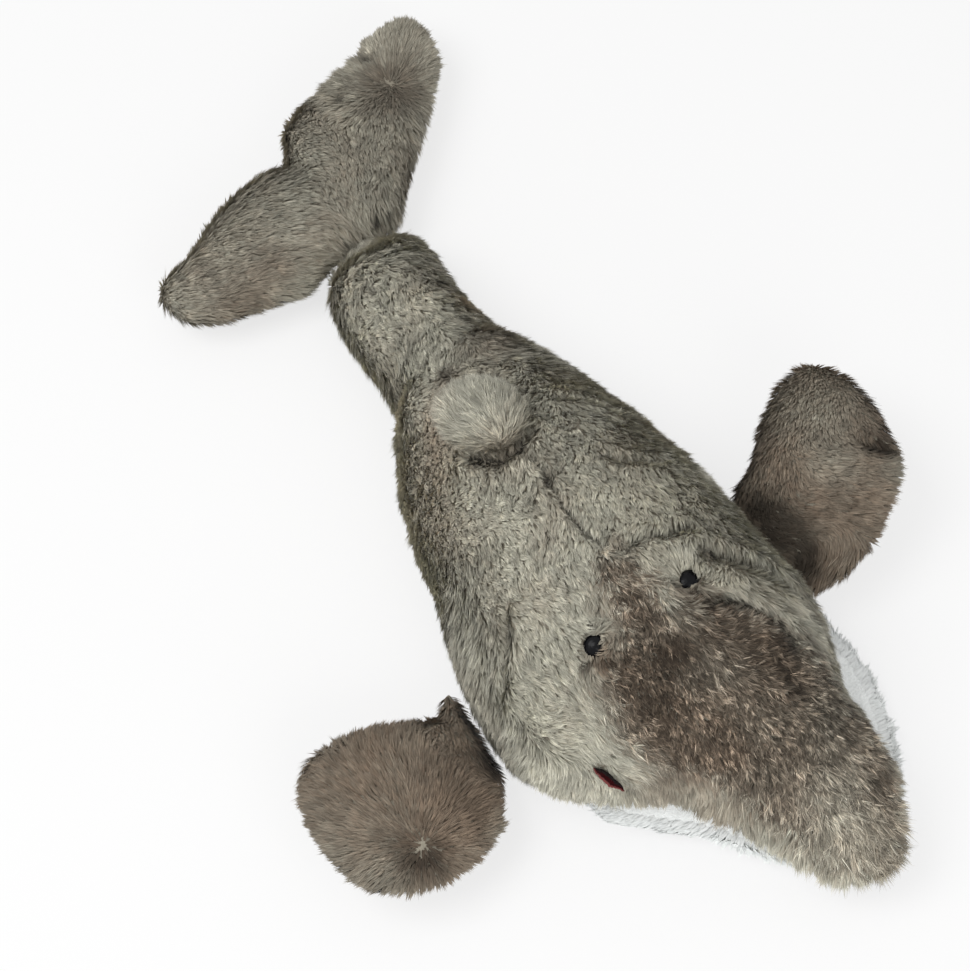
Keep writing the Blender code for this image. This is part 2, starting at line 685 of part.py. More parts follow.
def make_flipper(side, flipper, axes, looks):
    sweeps = np.array(FLIPPER_SWEEP_SHARES[side]) * FLIPPER_SWEEP
    start, rows = limb_rows(FLIPPER_SHARES, sweeps, FLIPPER_LENGTH, FLIPPER_CHORD,
                            FLIPPER_THICKNESS, FLIPPER_ROOT)
    place = world_place(flipper) - start * np.asarray(axes[0])
    stuffed_limb(f"flipper_{side}", ("top", "bottom"), place, axes, rows,
                 (looks["brown"], looks["fibre"]), flipper)


def flipper_axes(side):
    """Where a flipper's hinge lies, and its axes: out of the body, to the tail and up."""
    sign = 1 if side == "left" else -1
    reach = FLIPPER_SHARES[0][1] * FLIPPER_CHORD / BODY_LENGTH
    shares = FLIPPER_SHARE + np.linspace(-reach, reach, 9)
    rows = body_rows(shares)
    drop = np.clip((rows[4] - FLIPPER_LEVEL) / (rows[4] - rows[5]), 0, 1)
    across = (1 - drop**LOW_SWELL) ** (1 / LOW_SWELL)
    skin = np.stack([rows[1] + sign * rows[2] * across, rows[0]], 1)
    to_tail = skin[0] - skin[-1]
    to_tail = to_tail / np.linalg.norm(to_tail)
    flat_out = sign * np.array([to_tail[1], -to_tail[0]])
    bulge = ((skin - skin[0]) @ flat_out).max() + GAP
    middle = (skin[0] + skin[-1]) / 2 + flat_out * (bulge + FLIPPER_ROOT / 2)
    tilt = math.radians(FLIPPER_TILTS[side])
    out = (*flat_out * math.cos(tilt), math.sin(tilt))
    up = (*flat_out * -math.sin(tilt), math.cos(tilt))
    return (*middle, FLIPPER_LEVEL), (out, (*to_tail, 0), up)


def fin_axes():
    """Where the fin's hinge lies, and its axes: out of the back, to the tail and across."""
    place, out, to_tail = at_surface(FIN_SHARE, BACK_SEAM)
    return place + out * (FIN_ROOT / 2 + 1.5 * GAP), (out, to_tail, np.cross(out, to_tail))


def make_fin(fin, axes, looks):
    table = np.array(FIN_SHARES)
    sweeps = table[:, 1] * FIN_HEIGHT * FIN_LEAN_SHARE
    start, rows = limb_rows(table[:, (0, 2, 3)], sweeps, FIN_HEIGHT, FIN_CHORD, FIN_THICKNESS,
                            FIN_ROOT)
    place = world_place(fin) - start * np.asarray(axes[0])
    stuffed_limb("dorsal_fin", ("right", "left"), place, axes, rows,
                 (looks["pale"], looks["fibre"]), fin)


def centre_on_floor(whale):
    """Moves the whole whale so that its box stands centred on the origin."""
    bpy.context.view_layer.update()
    corners = np.array([
        np.array(piece.matrix_world @ vertex.co)
        for piece in bpy.data.objects if piece.type == "MESH" and not piece.hide_render
        for vertex in piece.data.vertices
    ])
    low, high = corners.min(0), corners.max(0)
    whale.location = -np.array([*(low + high)[:2] / 2, low[2]])


def main():
    clear_scene()
    looks = {
        "grey": material("pile_grey", PILE_GREY, 0.95),
        "dark": material("pile_dark", PILE_DARK, 0.95),
        "pale": material("pile_pale", PILE_PALE, 0.95),
        "brown": material("pile_brown", PILE_DARK, 0.95),
        "white": material("pile_white", PILE_WHITE, 0.95),
        "fibre": material("polyester_fibre", FIBRE, 1.0),
        "sheeting": material("cotton_sheeting", SHEETING, 0.9),
        "red": material("felt_red", LINING_RED, 0.9),
        "eye": material("eye_gloss_black", EYE_BLACK, 0.05),
        "washer": material("nylon_white", WASHER_WHITE, 0.4),
    }
    whale = pivot_at("whale", (0, 0, 0))
    torso = pivot_at("torso", (0, 0, 0), whale)
    make_torso(torso, looks)
    make_head(torso, looks)
    fit_eyes(torso, looks)

    make_jaw(pivot_at("jaw_pivot", jaw_place(), whale), looks)
    stock = pivot_at("tail_pivot", tail_seat()[0], whale)
    make_stock(stock, looks)
    crease = [float(value[0]) for value in body_rows([0.0])]
    flukes = pivot_at("fluke_pivot", (crease[1], crease[0], crease[4]), stock)
    make_flukes(flukes, looks)

    for side in ("left", "right"):
        place, axes = flipper_axes(side)
        make_flipper(side, pivot_at(f"flipper_pivot_{side}", place, whale), axes, looks)
    place, axes = fin_axes()
    make_fin(pivot_at("fin_pivot", place, whale), axes, looks)
    centre_on_floor(whale)


main()
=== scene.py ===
"""A long-pile plush whale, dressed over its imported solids.

Each stuffed part gets a puffed skin of backing cloth, and a pile of combed strands grows on
every sewn panel.
"""

import math

import bmesh
import bpy
import numpy as np
from bpy.props import FloatProperty, FloatVectorProperty, IntProperty, PointerProperty
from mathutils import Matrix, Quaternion, Vector


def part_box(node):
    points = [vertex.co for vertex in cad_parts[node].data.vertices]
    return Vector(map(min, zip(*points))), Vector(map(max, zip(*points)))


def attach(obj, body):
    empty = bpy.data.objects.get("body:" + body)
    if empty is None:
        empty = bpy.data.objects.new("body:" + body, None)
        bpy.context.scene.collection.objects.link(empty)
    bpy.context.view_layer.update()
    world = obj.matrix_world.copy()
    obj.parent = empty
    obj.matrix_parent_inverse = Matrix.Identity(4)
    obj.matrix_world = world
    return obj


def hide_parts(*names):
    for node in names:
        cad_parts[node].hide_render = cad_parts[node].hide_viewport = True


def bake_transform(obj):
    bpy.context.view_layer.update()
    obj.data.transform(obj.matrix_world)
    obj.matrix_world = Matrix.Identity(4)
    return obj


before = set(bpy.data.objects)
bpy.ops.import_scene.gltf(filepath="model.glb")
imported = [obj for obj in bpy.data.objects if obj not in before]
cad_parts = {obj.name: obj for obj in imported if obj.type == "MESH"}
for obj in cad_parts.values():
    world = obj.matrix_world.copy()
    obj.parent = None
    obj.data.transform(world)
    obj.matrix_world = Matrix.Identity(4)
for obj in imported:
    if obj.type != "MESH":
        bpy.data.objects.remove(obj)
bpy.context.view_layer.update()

bl_info = {
    "name": "Plush Whale",
    "version": (1, 0, 0),
    "blender": (4, 5, 0),
    "location": "3D View > Sidebar > Plush Whale",
    "description": "Dresses the solids of a stuffed whale in puffed cloth and combed pile",
    "category": "Add Mesh",
}

# The sewn covers of each stuffed part, each with the name of its kind of pile; on the body this
# picks the pile's length, colour and finish.
BODY_COVERS = {
    "back_panel_left": "pile_grey",
    "back_panel_right": "pile_grey",
    "stock_panel_left": "pile_grey",
    "stock_panel_right": "pile_grey",
    "cheek_panel_left": "pile_grey",
    "cheek_panel_right": "pile_grey",
    "forehead_gusset": "pile_dark",
    "throat_panel": "pile_white",
    "belly_panel": "pile_white",
}
FLUKE_COVERS = {"fluke_top": "pile_grey", "fluke_bottom": "pile_grey"}
FIN_COVERS = {"dorsal_fin_left": "pile_pale", "dorsal_fin_right": "pile_pale"}
FILLINGS = {
    "body_filling": "torso",
    "head_filling": "torso",
    "jaw_filling": "lower_jaw",
    "stock_filling": "tail_stock",
    "fluke_filling": "flukes",
    "flipper_left_filling": "flipper_left",
    "flipper_right_filling": "flipper_right",
    "dorsal_fin_filling": "dorsal_fin",
}

CLOTH_FLOOR, PILE_FLOOR = 0.0005, 0.0003  # nothing of the cloth or the pile goes lower
CLOTH_STEPS = 20  # frames for which the cloth is blown up
BROAD_FOLD = 6  # mm: the pile doesn't part in a fold as broad as this, which is a dent

EYE_CLEAR, LIPS_CLEAR = 0.0060, 0.0020  # how far roots stay from the eyes and the mouth's corner
OPENING = (0.0085, 0.0042)  # half length and half width of the opening in the pile over an eye
TUFT = 8  # locks in a tuft
UNDERCOAT = 0.25  # share of the strands that are undercoat: shorter and twice as broad
BELOW = 0.0010  # how far a strand's root lies under the cloth
FACED = (-0.25, -0.35, 0.75)  # with the cloth's normal, the side that a strand's face turns to
FIN_FOOT = (-0.010, -0.034, 0.121)  # the place by the fin's foot from which its pile fans out
PALETTE = (64, 24)  # columns of shade and rows of brownness in a palette map
FLOOR_REACH = 9.0  # half the side of the floor, in metres
SKY_LIGHT = 0.55  # what the white sky gives as light, where 1 is white
# Each lamp's name, place, power in watts and size. They look at the middle of the floor.
LAMPS = (("key_lamp", (-1.1, 0.3, 1.9), 24, 1.3), ("fill_lamp", (-0.3, -1.7, 0.9), 12, 1.2))

# How the pile lies: a place on the whale, the way its locks run there, the mark's reach, and the
# length of the pile there and its angle in degrees, 0 for its panel's own. Lengths are in mm.
COMB = np.array([
    (38, 264, 41, 0.44, -0.86, 0.25, 14, 0, 0),
    (50, 293, 37, 0.28, -0.9, 0.34, 14, 0, 0),
    (40, 227, 42, -0.21, -0.97, -0.14, 12, 0, 0),
    (63, 220, 42, -0.49, -0.86, -0.15, 12, 0, 0),
    (82, 220, 38, -0.66, -0.75, -0.05, 12, 0, 0),
    (83, 243, 44, -0.56, -0.82, -0.08, 14, 0, 0),
    (67, 254, 45, -0.21, -0.98, -0.01, 12, 0, 0),
    (16, 208, 40, 0.66, -0.64, -0.39, 12, 0, 0),
    (13, 226, 44, 0.56, -0.8, -0.19, 12, 0, 0),
    (-5, 243, 44, 0.52, -0.85, 0, 14, 7.65, 26),
    (-33, 242, 42, 0.56, -0.8, 0.22, 16, 7.65, 26),
    (-58, 233, 40, 0.56, -0.78, 0.29, 14, 7.65, 26),
    (-81, 221, 35, 0.8, -0.6, 0.11, 12, 7.65, 26),
    (-45, 206, 39, 0.9, -0.41, -0.12, 14, 7.65, 26),
    (-25, 192, 32, 0.96, -0.28, -0.08, 12, 7.65, 26),
    (-6, 197, 38, 0.87, -0.36, -0.33, 12, 0, 0),
    (58, 198, 30, -0.17, -0.58, -0.79, 12, 11.05, 23),
    (38, 196, 29, 0.03, -0.51, -0.86, 10, 11.05, 23),
    (67, 181, 32, -0.53, -0.84, 0.13, 12, 10.2, 24),
    (62, 143, 49, -0.26, -0.96, -0.13, 10, 8.5, 25),
    (13, 174, 48, 0.06, -0.93, 0.37, 9, 11.05, 22),
    (2, 151, 53, 0.14, -0.89, 0.43, 10, 11.05, 22),
    (-1, 121, 62, 0.28, -0.83, 0.47, 10, 11.05, 22),
    (-8, 116, 55, 0.35, -0.68, 0.65, 10, 11.05, 23),
    (18, 124, 71, -0.24, -0.95, 0.2, 9, 11.05, 22),
    (16, 87, 81, -0.25, -0.94, 0.22, 10, 11.05, 22),
    (17, 76, 82, -0.31, -0.91, -0.26, 10, 10.2, 24),
    (53, 104, 65, -0.34, -0.93, 0.17, 12, 8.5, 27),
    (40, 75, 79, -0.35, -0.93, -0.04, 12, 8.5, 28),
    (2, 85, 76, 0.33, -0.8, 0.51, 10, 10.2, 24),
    (-13, 82, 62, 0.28, -0.8, 0.53, 12, 9.35, 26),
    (-18, 57, 71, 0.26, -0.79, 0.55, 14, 7.65, 28),
    (-32, 23, 79, 0.27, -0.79, 0.56, 16, 7.65, 28),
    (-48, 12, 62, 0.31, -0.76, 0.57, 16, 7.65, 28),
    (-45, -17, 90, 0.23, -0.79, 0.57, 16, 7.65, 28),
    (-66, -29, 55, 0.3, -0.77, 0.56, 18, 7.65, 28),
    (-29, -26, 108, 0.2, -0.85, 0.48, 14, 7.65, 28),
    (-19, 3, 128, 0.26, -0.96, 0.11, 10, 7.65, 28),
    (37, -3, 109, -0.66, -0.69, 0.3, 12, 7.65, 28),
    (69, -19, 94, -0.39, -0.92, 0.09, 16, 7, 30),
    (23, -42, 125, -0.45, -0.86, 0.23, 14, 8, 30),
    (-11, -50, 124, -0.3, -0.94, 0.13, 12, 7.65, 28),
    (-18, -80, 128, -0.27, -0.96, 0.09, 14, 8.5, 27),
    (-33, -61, 117, 0.07, -0.95, 0.32, 14, 8.5, 27),
    (-25, -108, 129, -0.14, -0.99, -0.01, 14, 8.5, 26),
    (-57, -85, 106, 0.22, -0.82, 0.53, 16, 8.5, 26),
    (-53, -109, 116, 0.41, -0.85, 0.33, 14, 8.5, 26),
    (-42, -122, 123, 0.42, -0.32, -0.85, 14, 8.5, 26),
    (-17, -130, 131, -0.31, -0.94, -0.11, 12, 9.35, 25),
    (2, -114, 133, -0.33, -0.94, -0.02, 12, 8.5, 27),
    (27, -99, 131, -0.53, -0.82, 0.21, 14, 8, 30),
    (45, -108, 126, -0.6, -0.78, 0.17, 14, 8, 30),
    (64, -127, 114, -0.65, -0.71, 0.26, 14, 8, 28),
    (73, -62, 102, -0.4, -0.91, 0.13, 18, 6.5, 32),
    (96, -78, 65, 0.69, -0.55, -0.48, 16, 6.5, 32),
    (88, -130, 88, -0.41, -0.91, 0.1, 14, 7, 30),
    (-83, -90, 69, -0.29, -0.9, -0.33, 14, 7.65, 28),
    (-91, -108, 57, -0.45, -0.6, -0.66, 12, 7.65, 28),
    (-97, -104, 31, -0.49, -0.85, 0.22, 10, 8.5, 26),
    (-78, -114, 91, -0.31, -0.92, -0.25, 12, 8, 29),
    (-62, -130, 110, 0.3, -0.92, 0.27, 14, 8.5, 27),
    (-78, -144, 98, 0.19, -0.84, 0.51, 10, 10.2, 24),
    (-78, -168, 98, 0.48, -0.77, 0.42, 9, 11.05, 22),
    (-86, -178, 88, 0.78, -0.38, 0.49, 9, 10.2, 24),
    (-60, -186, 103, 0.35, -0.81, -0.47, 9, 11.05, 22),
    (-54, -179, 109, -0, -0.97, -0.24, 9, 11.05, 23),
    (-58, -203, 92, 0.67, -0.64, -0.38, 9, 11.05, 22),
    (-49, -214, 86, 0.77, -0.64, -0.09, 9, 10.2, 24),
    (-46, -206, 94, 0.07, -0.72, -0.69, 8, 10.2, 24),
    (-76, -207, 45, -0.2, -0.25, -0.95, 9, 9.35, 24),
    (-64, -220, 45, -0.17, -0.26, -0.95, 9, 9.35, 23),
    (-90, -198, 52, -0.28, -0.17, -0.94, 10, 7.65, 30),
    (-99, -171, 70, -0.43, -0.43, -0.79, 12, 7, 44),
    (-92, -191, 68, -0.25, -0.23, -0.94, 11, 7.5, 42),
    (-70, -156, 104, 0.47, -0.83, 0.31, 10, 10.2, 24),
    (-43, -184, 112, 0.42, -0.88, -0.21, 9, 9.35, 26),
    (-50, -152, 118, 0.36, -0.93, -0.04, 12, 8.5, 27),
    (-45, -135, 122, 0.22, -0.97, -0, 12, 8.5, 27),
    (3, -159, 129, -0.06, -0.95, -0.3, 9, 10.2, 24),
    (6, -179, 121, 0.12, -0.9, -0.42, 8, 11.05, 23),
    (9, -207, 107, 0.13, -0.88, -0.45, 8, 10.2, 24),
    (3, -145, 132, -0.26, -0.95, -0.18, 10, 9.35, 25),
    (52, -156, 118, -0.65, -0.71, 0.28, 9, 8, 29),
    (63, -180, 107, -0.38, -0.92, -0.04, 10, 8, 56),
    (38, -184, 114, 0.81, -0.35, -0.47, 8, 8.5, 25),
    (50, -195, 105, 0.74, -0.49, -0.46, 8, 8.5, 25),
    (75, -202, 89, -0, -0.88, -0.47, 10, 7.65, 27),
    (77, -219, 78, -0.03, -0.92, -0.4, 10, 8.5, 26),
    (82, -238, 58, -0.15, -0.94, -0.31, 9, 6.5, 24),
    (-29, -198, 108, -0.08, -0.86, -0.5, 14, 5.2, 46),
    (-32, -174, 119, -0.09, -0.88, -0.46, 10, 5.2, 46),
    (-16, -227, 89, -0.04, -0.65, -0.76, 16, 5.4, 44),
    (14, -235, 91, -0.05, -0.82, -0.56, 14, 5.8, 42),
    (-34, -235, 60, -0.09, -0.29, -0.95, 12, 6.5, 31),
    (36, -215, 100, 0.55, -0.71, -0.44, 10, 8, 28),
    (7, -273, 61, -0.26, -0.7, -0.67, 12, 8.5, 27),
    (36, -282, 65, -0.16, -0.85, -0.5, 12, 8.5, 28),
    (65, -283, 56, -0.07, -0.86, -0.51, 11, 9.35, 27),
    (44, -309, 49, -0.29, -0.87, -0.39, 11, 11.05, 25),
    (-3, -289, 32, -0.17, -0.32, -0.93, 11, 14, 22),
    (14, -312, 39, -0.19, -0.48, -0.86, 11, 15.5, 20),
    (46, -327, 37, -0.08, -0.6, -0.8, 11, 15, 20),
    (-15, -263, 40, -0.14, -0.38, -0.91, 9, 17, 20),
    (-23, -251, 50, -0.16, -0.28, -0.95, 8, 16, 20),
    (66, -307, 35, 0.85, 0.05, -0.53, 10, 11.05, 24),
    (-23, -242, 20, -0.55, -0.67, -0.49, 9, 8.5, 25),
    (76, -260, 57, -0.16, -0.95, -0.26, 10, 6.5, 24),
    (136, -136, 51, 0.57, -0.78, 0.24, 10, 8.5, 26),
    (134, -161, 45, -0.8, -0.46, -0.39, 10, 9.35, 25),
    (121, -131, 42, 0.25, -0.96, 0.14, 9, 8.5, 26),
    (171, -152, 57, 0.81, -0.58, -0.1, 11, 8.5, 27),
    (168, -127, 62, 0.53, -0.85, 0.01, 12, 7.5, 30),
    (182, -79, 65, -0.62, -0.78, -0.05, 16, 6.5, 42),
    (197, -109, 68, -0.37, -0.93, -0.09, 12, 7.5, 30),
    (135, -102, 49, -0.53, -0.84, -0.15, 10, 7.5, 30),
    (196, -145, 58, 0.77, -0.22, -0.61, 9, 7.65, 27),
    (-111, -144, 36, -0.35, -0.93, 0.1, 9, 8, 30),
    (-113, -127, 37, -0.49, -0.85, 0.22, 9, 8, 30),
])

# Where the pile runs out from a middle: place, reach in mm, strength.
WHORLS = (
    (120, 281, 44, 26, 1.6),
    (-167, -174, 48, 26, 1.6),
)

# Where the pile is lighter or darker, and browner: place, reach in mm, lightness, brownness.
# The broad marks are the pile's own tone; the small, strongly dark ones are painted shade,
# under the fin, round the eyes, in creases and at the flippers' roots.
SHADES = (
    (-69, -168, 105, 26, 0.03, -0.06),
    (-94, -184, 74, 20, 0.04, -0.14),
    (-81, -207, 49, 16, 0.08, -0.1),
    (6, -151, 131, 3, 0.2, -0.3),
    (6, -157, 129, 2.6, 0.26, -0.5),
    (6, -163, 127, 2.4, 0.34, -0.6),
    (6, -170, 125, 2.4, 0.36, -0.6),
    (6, -176, 122, 2.2, 0.36, -0.6),
    (7, -182, 119, 2.2, 0.36, -0.6),
    (7, -188, 116, 2.2, 0.36, -0.6),
    (8, -194, 113, 2.2, 0.36, -0.6),
    (9, -200, 110, 2, 0.36, -0.6),
    (10, -207, 107, 2, 0.36, -0.6),
    (12, -212, 104, 2, 0.3, -0.5),
    (-28, -188, 114, 16, -0.1, 0.3),
    (-7, -159, 128, 10, -0.1, 0.25),
    (21, -168, 124, 5, -0.2, 0.4),
    (-6, -183, 119, 7, -0.14, 0.3),
    (-16, -227, 89, 24, -0.04, 0.25),
    (-38, -169, 120, 7, -0.2, 0.4),
    (28, -187, 115, 12, -0.08, 0.2),
    (38, -197, 108, 14, -0.07, 0.1),
    (42, -211, 100, 12, -0.07, 0.2),
    (44, -227, 93, 11, -0.05, 0.2),
    (-43, -227, 70, 14, -0.08, 0.25),
    (-22, -252, 49, 12, -0.12, 0.45),
    (61, -290, 54, 9, -0.16, 0.25),
    (19, -305, 47, 24, 0.15, -0.2),
    (40, -324, 41, 14, 0.06, -0.1),
    (47, -296, 56, 20, 0.1, -0.15),
    (10, -145, 130, 12, 0.04, 0.1),
    (28, -175, 120, 7, -0.05, 0.3),
    (-3, -238, 84, 7, 0.12, 0.3),
    (68, -212, 89, 5, -0.25, 0.1),
    (-41, 0, 84, 26, 0.11, 0.22),
    (-15, 26, 92, 18, 0.04, 0.3),
    (4, 50, 91, 6, -0.3, 0.3),
    (40, 53, 89, 13, -0.16, 0.4),
    (54, 104, 65, 9, 0.1, 0.55),
    (118, 278, 44, 13, -0.26, 0.3),
    (-55, 204, 36, 18, -0.12, 0.3),
    (-19, 206, 41, 9, -0.06, 0.3),
    # painted shade: dark holes in a crease by the flukes
    (28, 202, 36, 2.5, -0.5, 0),
    (55, 207, 37, 3, -0.5, 0),
    (65, 206, 37, 2.5, -0.4, 0),
    (-8, -26, 130, 8, -0.06, 0.28),
    # painted shade: the shadow under the fin
    (-12, -32, 119, 4.5, -0.35, 0.25),
    (-19, -21, 113, 4.5, -0.3, 0.2),
    (4, -34, 123, 4, -0.3, 0.1),
    (0, -61, 129, 4, -0.3, 0.15),
    (-5, -76, 131, 12, 0.03, 0.1),
    (83, -88, 93, 22, 0.1, 0),
    (87, -34, 70, 18, 0.06, 0),
    (35, -103, 129, 20, 0.13, 0),
    (35, 110, 74, 12, 0.13, -0.1),
    (78, -188, 92, 12, 0.09, 0),
    (92, -72, 73, 14, 0.03, 0),
    (-30, -86, 126, 22, 0.06, 0),
    (-81, -108, 84, 14, -0.02, -0.1),
    # painted shade at the root of a flipper
    (122, -129, 43, 9, -0.34, 0.1),
    (124, -112, 43, 8, -0.28, 0.1),
    (123, -152, 41, 8, -0.3, 0.1),
    # painted shade in the flipper's fold
    (194, -128, 66, 5, -0.28, 0.1),
    (180, -77, 64, 18, 0.16, -0.35),
    (194, -145, 59, 8, 0.06, -0.4),
    (163, -114, 61, 12, 0.1, -0.25),
    (-139, -169, 43, 16, -0.04, 0.3),
    (-105, -146, 32, 9, -0.24, 0.15),
    (-173, -178, 47, 7, -0.18, 0.15),
    (-129, -188, 30, 10, 0.12, -0.4),
    # painted shade: dark hollows round the eyes
    (-36, -152, 123, 2.4, -0.5, 0.1),
    (-46, -161, 117, 2.4, -0.5, 0.1),
    (23, -166, 124, 4, -0.5, 0.1),
    (-196, -182, 37, 12, 0.06, -0.35),
    (-210, -153, 46, 12, 0, -0.3),
)

# Folds of the cloth: width and depth in mm, then the points that the fold runs through.
FOLDS = (
    (3.6, 5.5, (41, -13, 111), (58, -21, 104), (66, -33, 101), (80, -37, 85)),
    (3.6, 4.5, (37, -66, 125), (41, -74, 125), (59, -82, 116), (96, -78, 65), (94, -91, 74)),
    (2.8, 4.5, (3, -40, 124), (1, -55, 128), (-2, -68, 130), (-4, -89, 133), (-4, -105, 134),
     (1, -122, 133)),
    (3.6, 5, (3, -125, 134), (17, -124, 132), (24, -125, 130), (35, -129, 128), (48, -131, 123)),
    (3, 2.6, (-59, -102, 110), (-70, -119, 102), (-82, -133, 89), (-91, -138, 76)),
    (5, 7, (47, -148, 122), (55, -154, 117), (72, -168, 104), (85, -183, 90), (88, -198, 79)),
    (5, 6, (29, -172, 120), (45, -183, 112), (55, -194, 104), (59, -209, 95)),
    (3.5, 3, (41, -215, 99), (43, -233, 90), (51, -247, 81)),
    (2, 2.6, (17, -245, 84), (21, -256, 78), (25, -273, 68), (28, -287, 61)),
    (3.6, 5.5, (-22, -13, 108), (-13, -31, 118), (0, -34, 123), (15, -28, 121)),
    (3, 3.2, (185, -118, 66), (193, -129, 66), (200, -136, 61)),
    (2, 2.4, (17, 170, 53), (10, 126, 68), (5, 76, 79)),
    (3.5, 6, (99, 318, 27), (89, 287, 43)),
    (3.5, 5, (123, 322, 32), (120, 303, 42)),
    (3.2, 3, (-70, -204, 83), (-67, -209, 75), (-62, -216, 68)),
    (3, 3, (-62, -216, 68), (-53, -226, 51), (-41, -232, 15)),
    (3, 3, (5, 51, 91), (-12, 17, 138)),
    (12, -4, (-17, 62, 69), (1, 71, 74), (20, 72, 81), (41, 64, 86)),
    (9, 9, (103, -219, 21), (102, -238, 12), (80, -273, 44)),
    (8, 3, (-2, -111, 3), (-3, -113, 3)),
    (8, 2.6, (66, -113, 9), (67, -115, 9)),
    (3.5, -2, (-31, -154, 124), (-31, -161, 122), (-36, -167, 120)),
    (3.5, -2, (27, -148, 127), (34, -150, 125), (38, -157, 123)),
    (25, -6, (-35, 44, 47), (-47, 22, 32), (-56, -3, 23)),
    (2.6, 3.5, (19, -157, 127), (21, -165, 125), (25, -170, 122)),
)

# For each eye the middle of its dome, the middle of the opening in the pile over it, and the way
# in which that opening is long. Then the line of the mouth's corner. All in mm.
EYES = np.array([((27.5, -160.3, 129.5), (28.2, -164.4, 128.9), (0.33, -0.94, -0.10)),
                 ((-39.5, -160.2, 125.0), (-42.0, -158.2, 124.3), (-0.55, -0.70, -0.45))])
MOUTH = np.array([(-70, -203, 84), (-68, -208, 77), (-64, -214, 71), (-60, -218, 66)])


# ---------------------------------------------------------------- sizes and colours


def tint(name, description, default):
    """A colour that a user may change."""
    return FloatVectorProperty(name=name, description=description, subtype="COLOR",
                               default=default)


class WHALE_PG_pile(bpy.types.PropertyGroup):
    """How long, dense and wild the pile is."""

    length: FloatProperty(name="Length", description="Length of a lock on the back",
                          default=0.0090, min=0.002, unit="LENGTH")
    width: FloatProperty(name="Width", description="Width of a strand at its middle",
                         default=0.00054, min=0.0001, unit="LENGTH")
    density: FloatProperty(name="Density", description="Strands on a square millimetre",
                           default=3.0, min=0.1)
    lock: IntProperty(name="Strands in a lock", description="How many strands lean together",
                      default=6, min=1)
    rise: FloatProperty(name="Rise", description="Angle of a lock to the cloth",
                        default=math.radians(28), subtype="ANGLE")
    seed: IntProperty(name="Seed", description="Start of the random numbers", default=11)


class WHALE_PG_colours(bpy.types.PropertyGroup):
    """The colours of the cloths and fittings."""

    grey: tint("Grey pile", "Colour of the back's tips", (0.50, 0.485, 0.395))
    brown: tint("Brown pile", "Colour of the browner pile", (0.40, 0.300, 0.215))
    white: tint("White pile", "Colour of the underside", (0.92, 0.94, 0.93))
    backing: tint("Backing", "Colour of the knitted backing", (0.27, 0.245, 0.195))
    lining: tint("Lining", "Colour of the mouth's felt", (0.050, 0.004, 0.006))
    eye: tint("Eye", "Colour of the eyes", (0.004, 0.004, 0.005))


class WHALE_PG_stage(bpy.types.PropertyGroup):
    """The camera and the floor."""

    eye: FloatVectorProperty(name="Camera", description="Place of the camera",
                             subtype="TRANSLATION", default=(-0.467201, -0.716719, 1.522645))
    aim: FloatVectorProperty(name="Aim", description="Point that the camera looks at",
                             subtype="TRANSLATION", default=(-0.0061, -0.0055, 0.050))
    tilt: FloatProperty(name="Tilt", description="Turn of the camera about its own axis",
                        default=math.radians(-2.63), subtype="ANGLE")
    lens: FloatProperty(name="Lens", description="Focal length in millimetres",
                        default=105.05, min=10)
    floor: tint("Floor", "Colour of the floor", (0.86, 0.86, 0.86))


# ---------------------------------------------------------------- materials


class Socket:
    """A node's output, which can be added, multiplied and so on with numbers and other sockets."""

    def __init__(self, nodes, link):
        self.nodes, self.link = nodes, link

    def maths(self, operation, *others):
        values = dict(enumerate([self, *others]))
        return self.nodes.node("ShaderNodeMath", values, operation=operation)

    def __add__(self, other):
        return self.maths("ADD", other)

    __radd__ = __add__

    def __rsub__(self, other):
        return self.nodes.node("ShaderNodeMath", {0: other, 1: self}, operation="SUBTRACT")

    def __mul__(self, other):
        return self.maths("MULTIPLY", other)

    __rmul__ = __mul__

    def smooth(self, low, high):
        """0 below low, 1 above high, and a smooth step between them."""
        return self.nodes.node("ShaderNodeMapRange",
                               {"Value": self, "From Min": low, "From Max": high},
                               interpolation_type="SMOOTHSTEP")


class Nodes:
    """A node tree while it is laid out."""

    def __init__(self, tree):
        self.tree, self.at = tree, None

    def put(self, socket, value):
        """Links an output to an input, or sets the input's own value."""
        if isinstance(value, Socket):
            self.tree.links.new(value.link, socket)
        elif isinstance(value, (tuple, list)) and socket.type == "RGBA":
            socket.default_value = (*value, 1)[:4]
        else:
            socket.default_value = value

    def node(self, kind, inputs=None, out=0, **settings):
        """One output of a new node, whose settings are set before its inputs."""
        made = self.tree.nodes.new(kind)
        for key, value in settings.items():
            setattr(made, key, value)
        for key, value in (inputs or {}).items():
            self.put(made.inputs[key], value)
        return Socket(self, made.outputs[out])

    def shown(self):
        """1 for the rays that show a background: the camera's own, and those that gloss mirrors
        or that come through something clear."""
        camera, glossy, through = (self.node("ShaderNodeLightPath", out=f"Is {kind} Ray")
                                   for kind in ("Camera", "Glossy", "Transmission"))
        return camera.maths("MAXIMUM", glossy).maths("MAXIMUM", through)


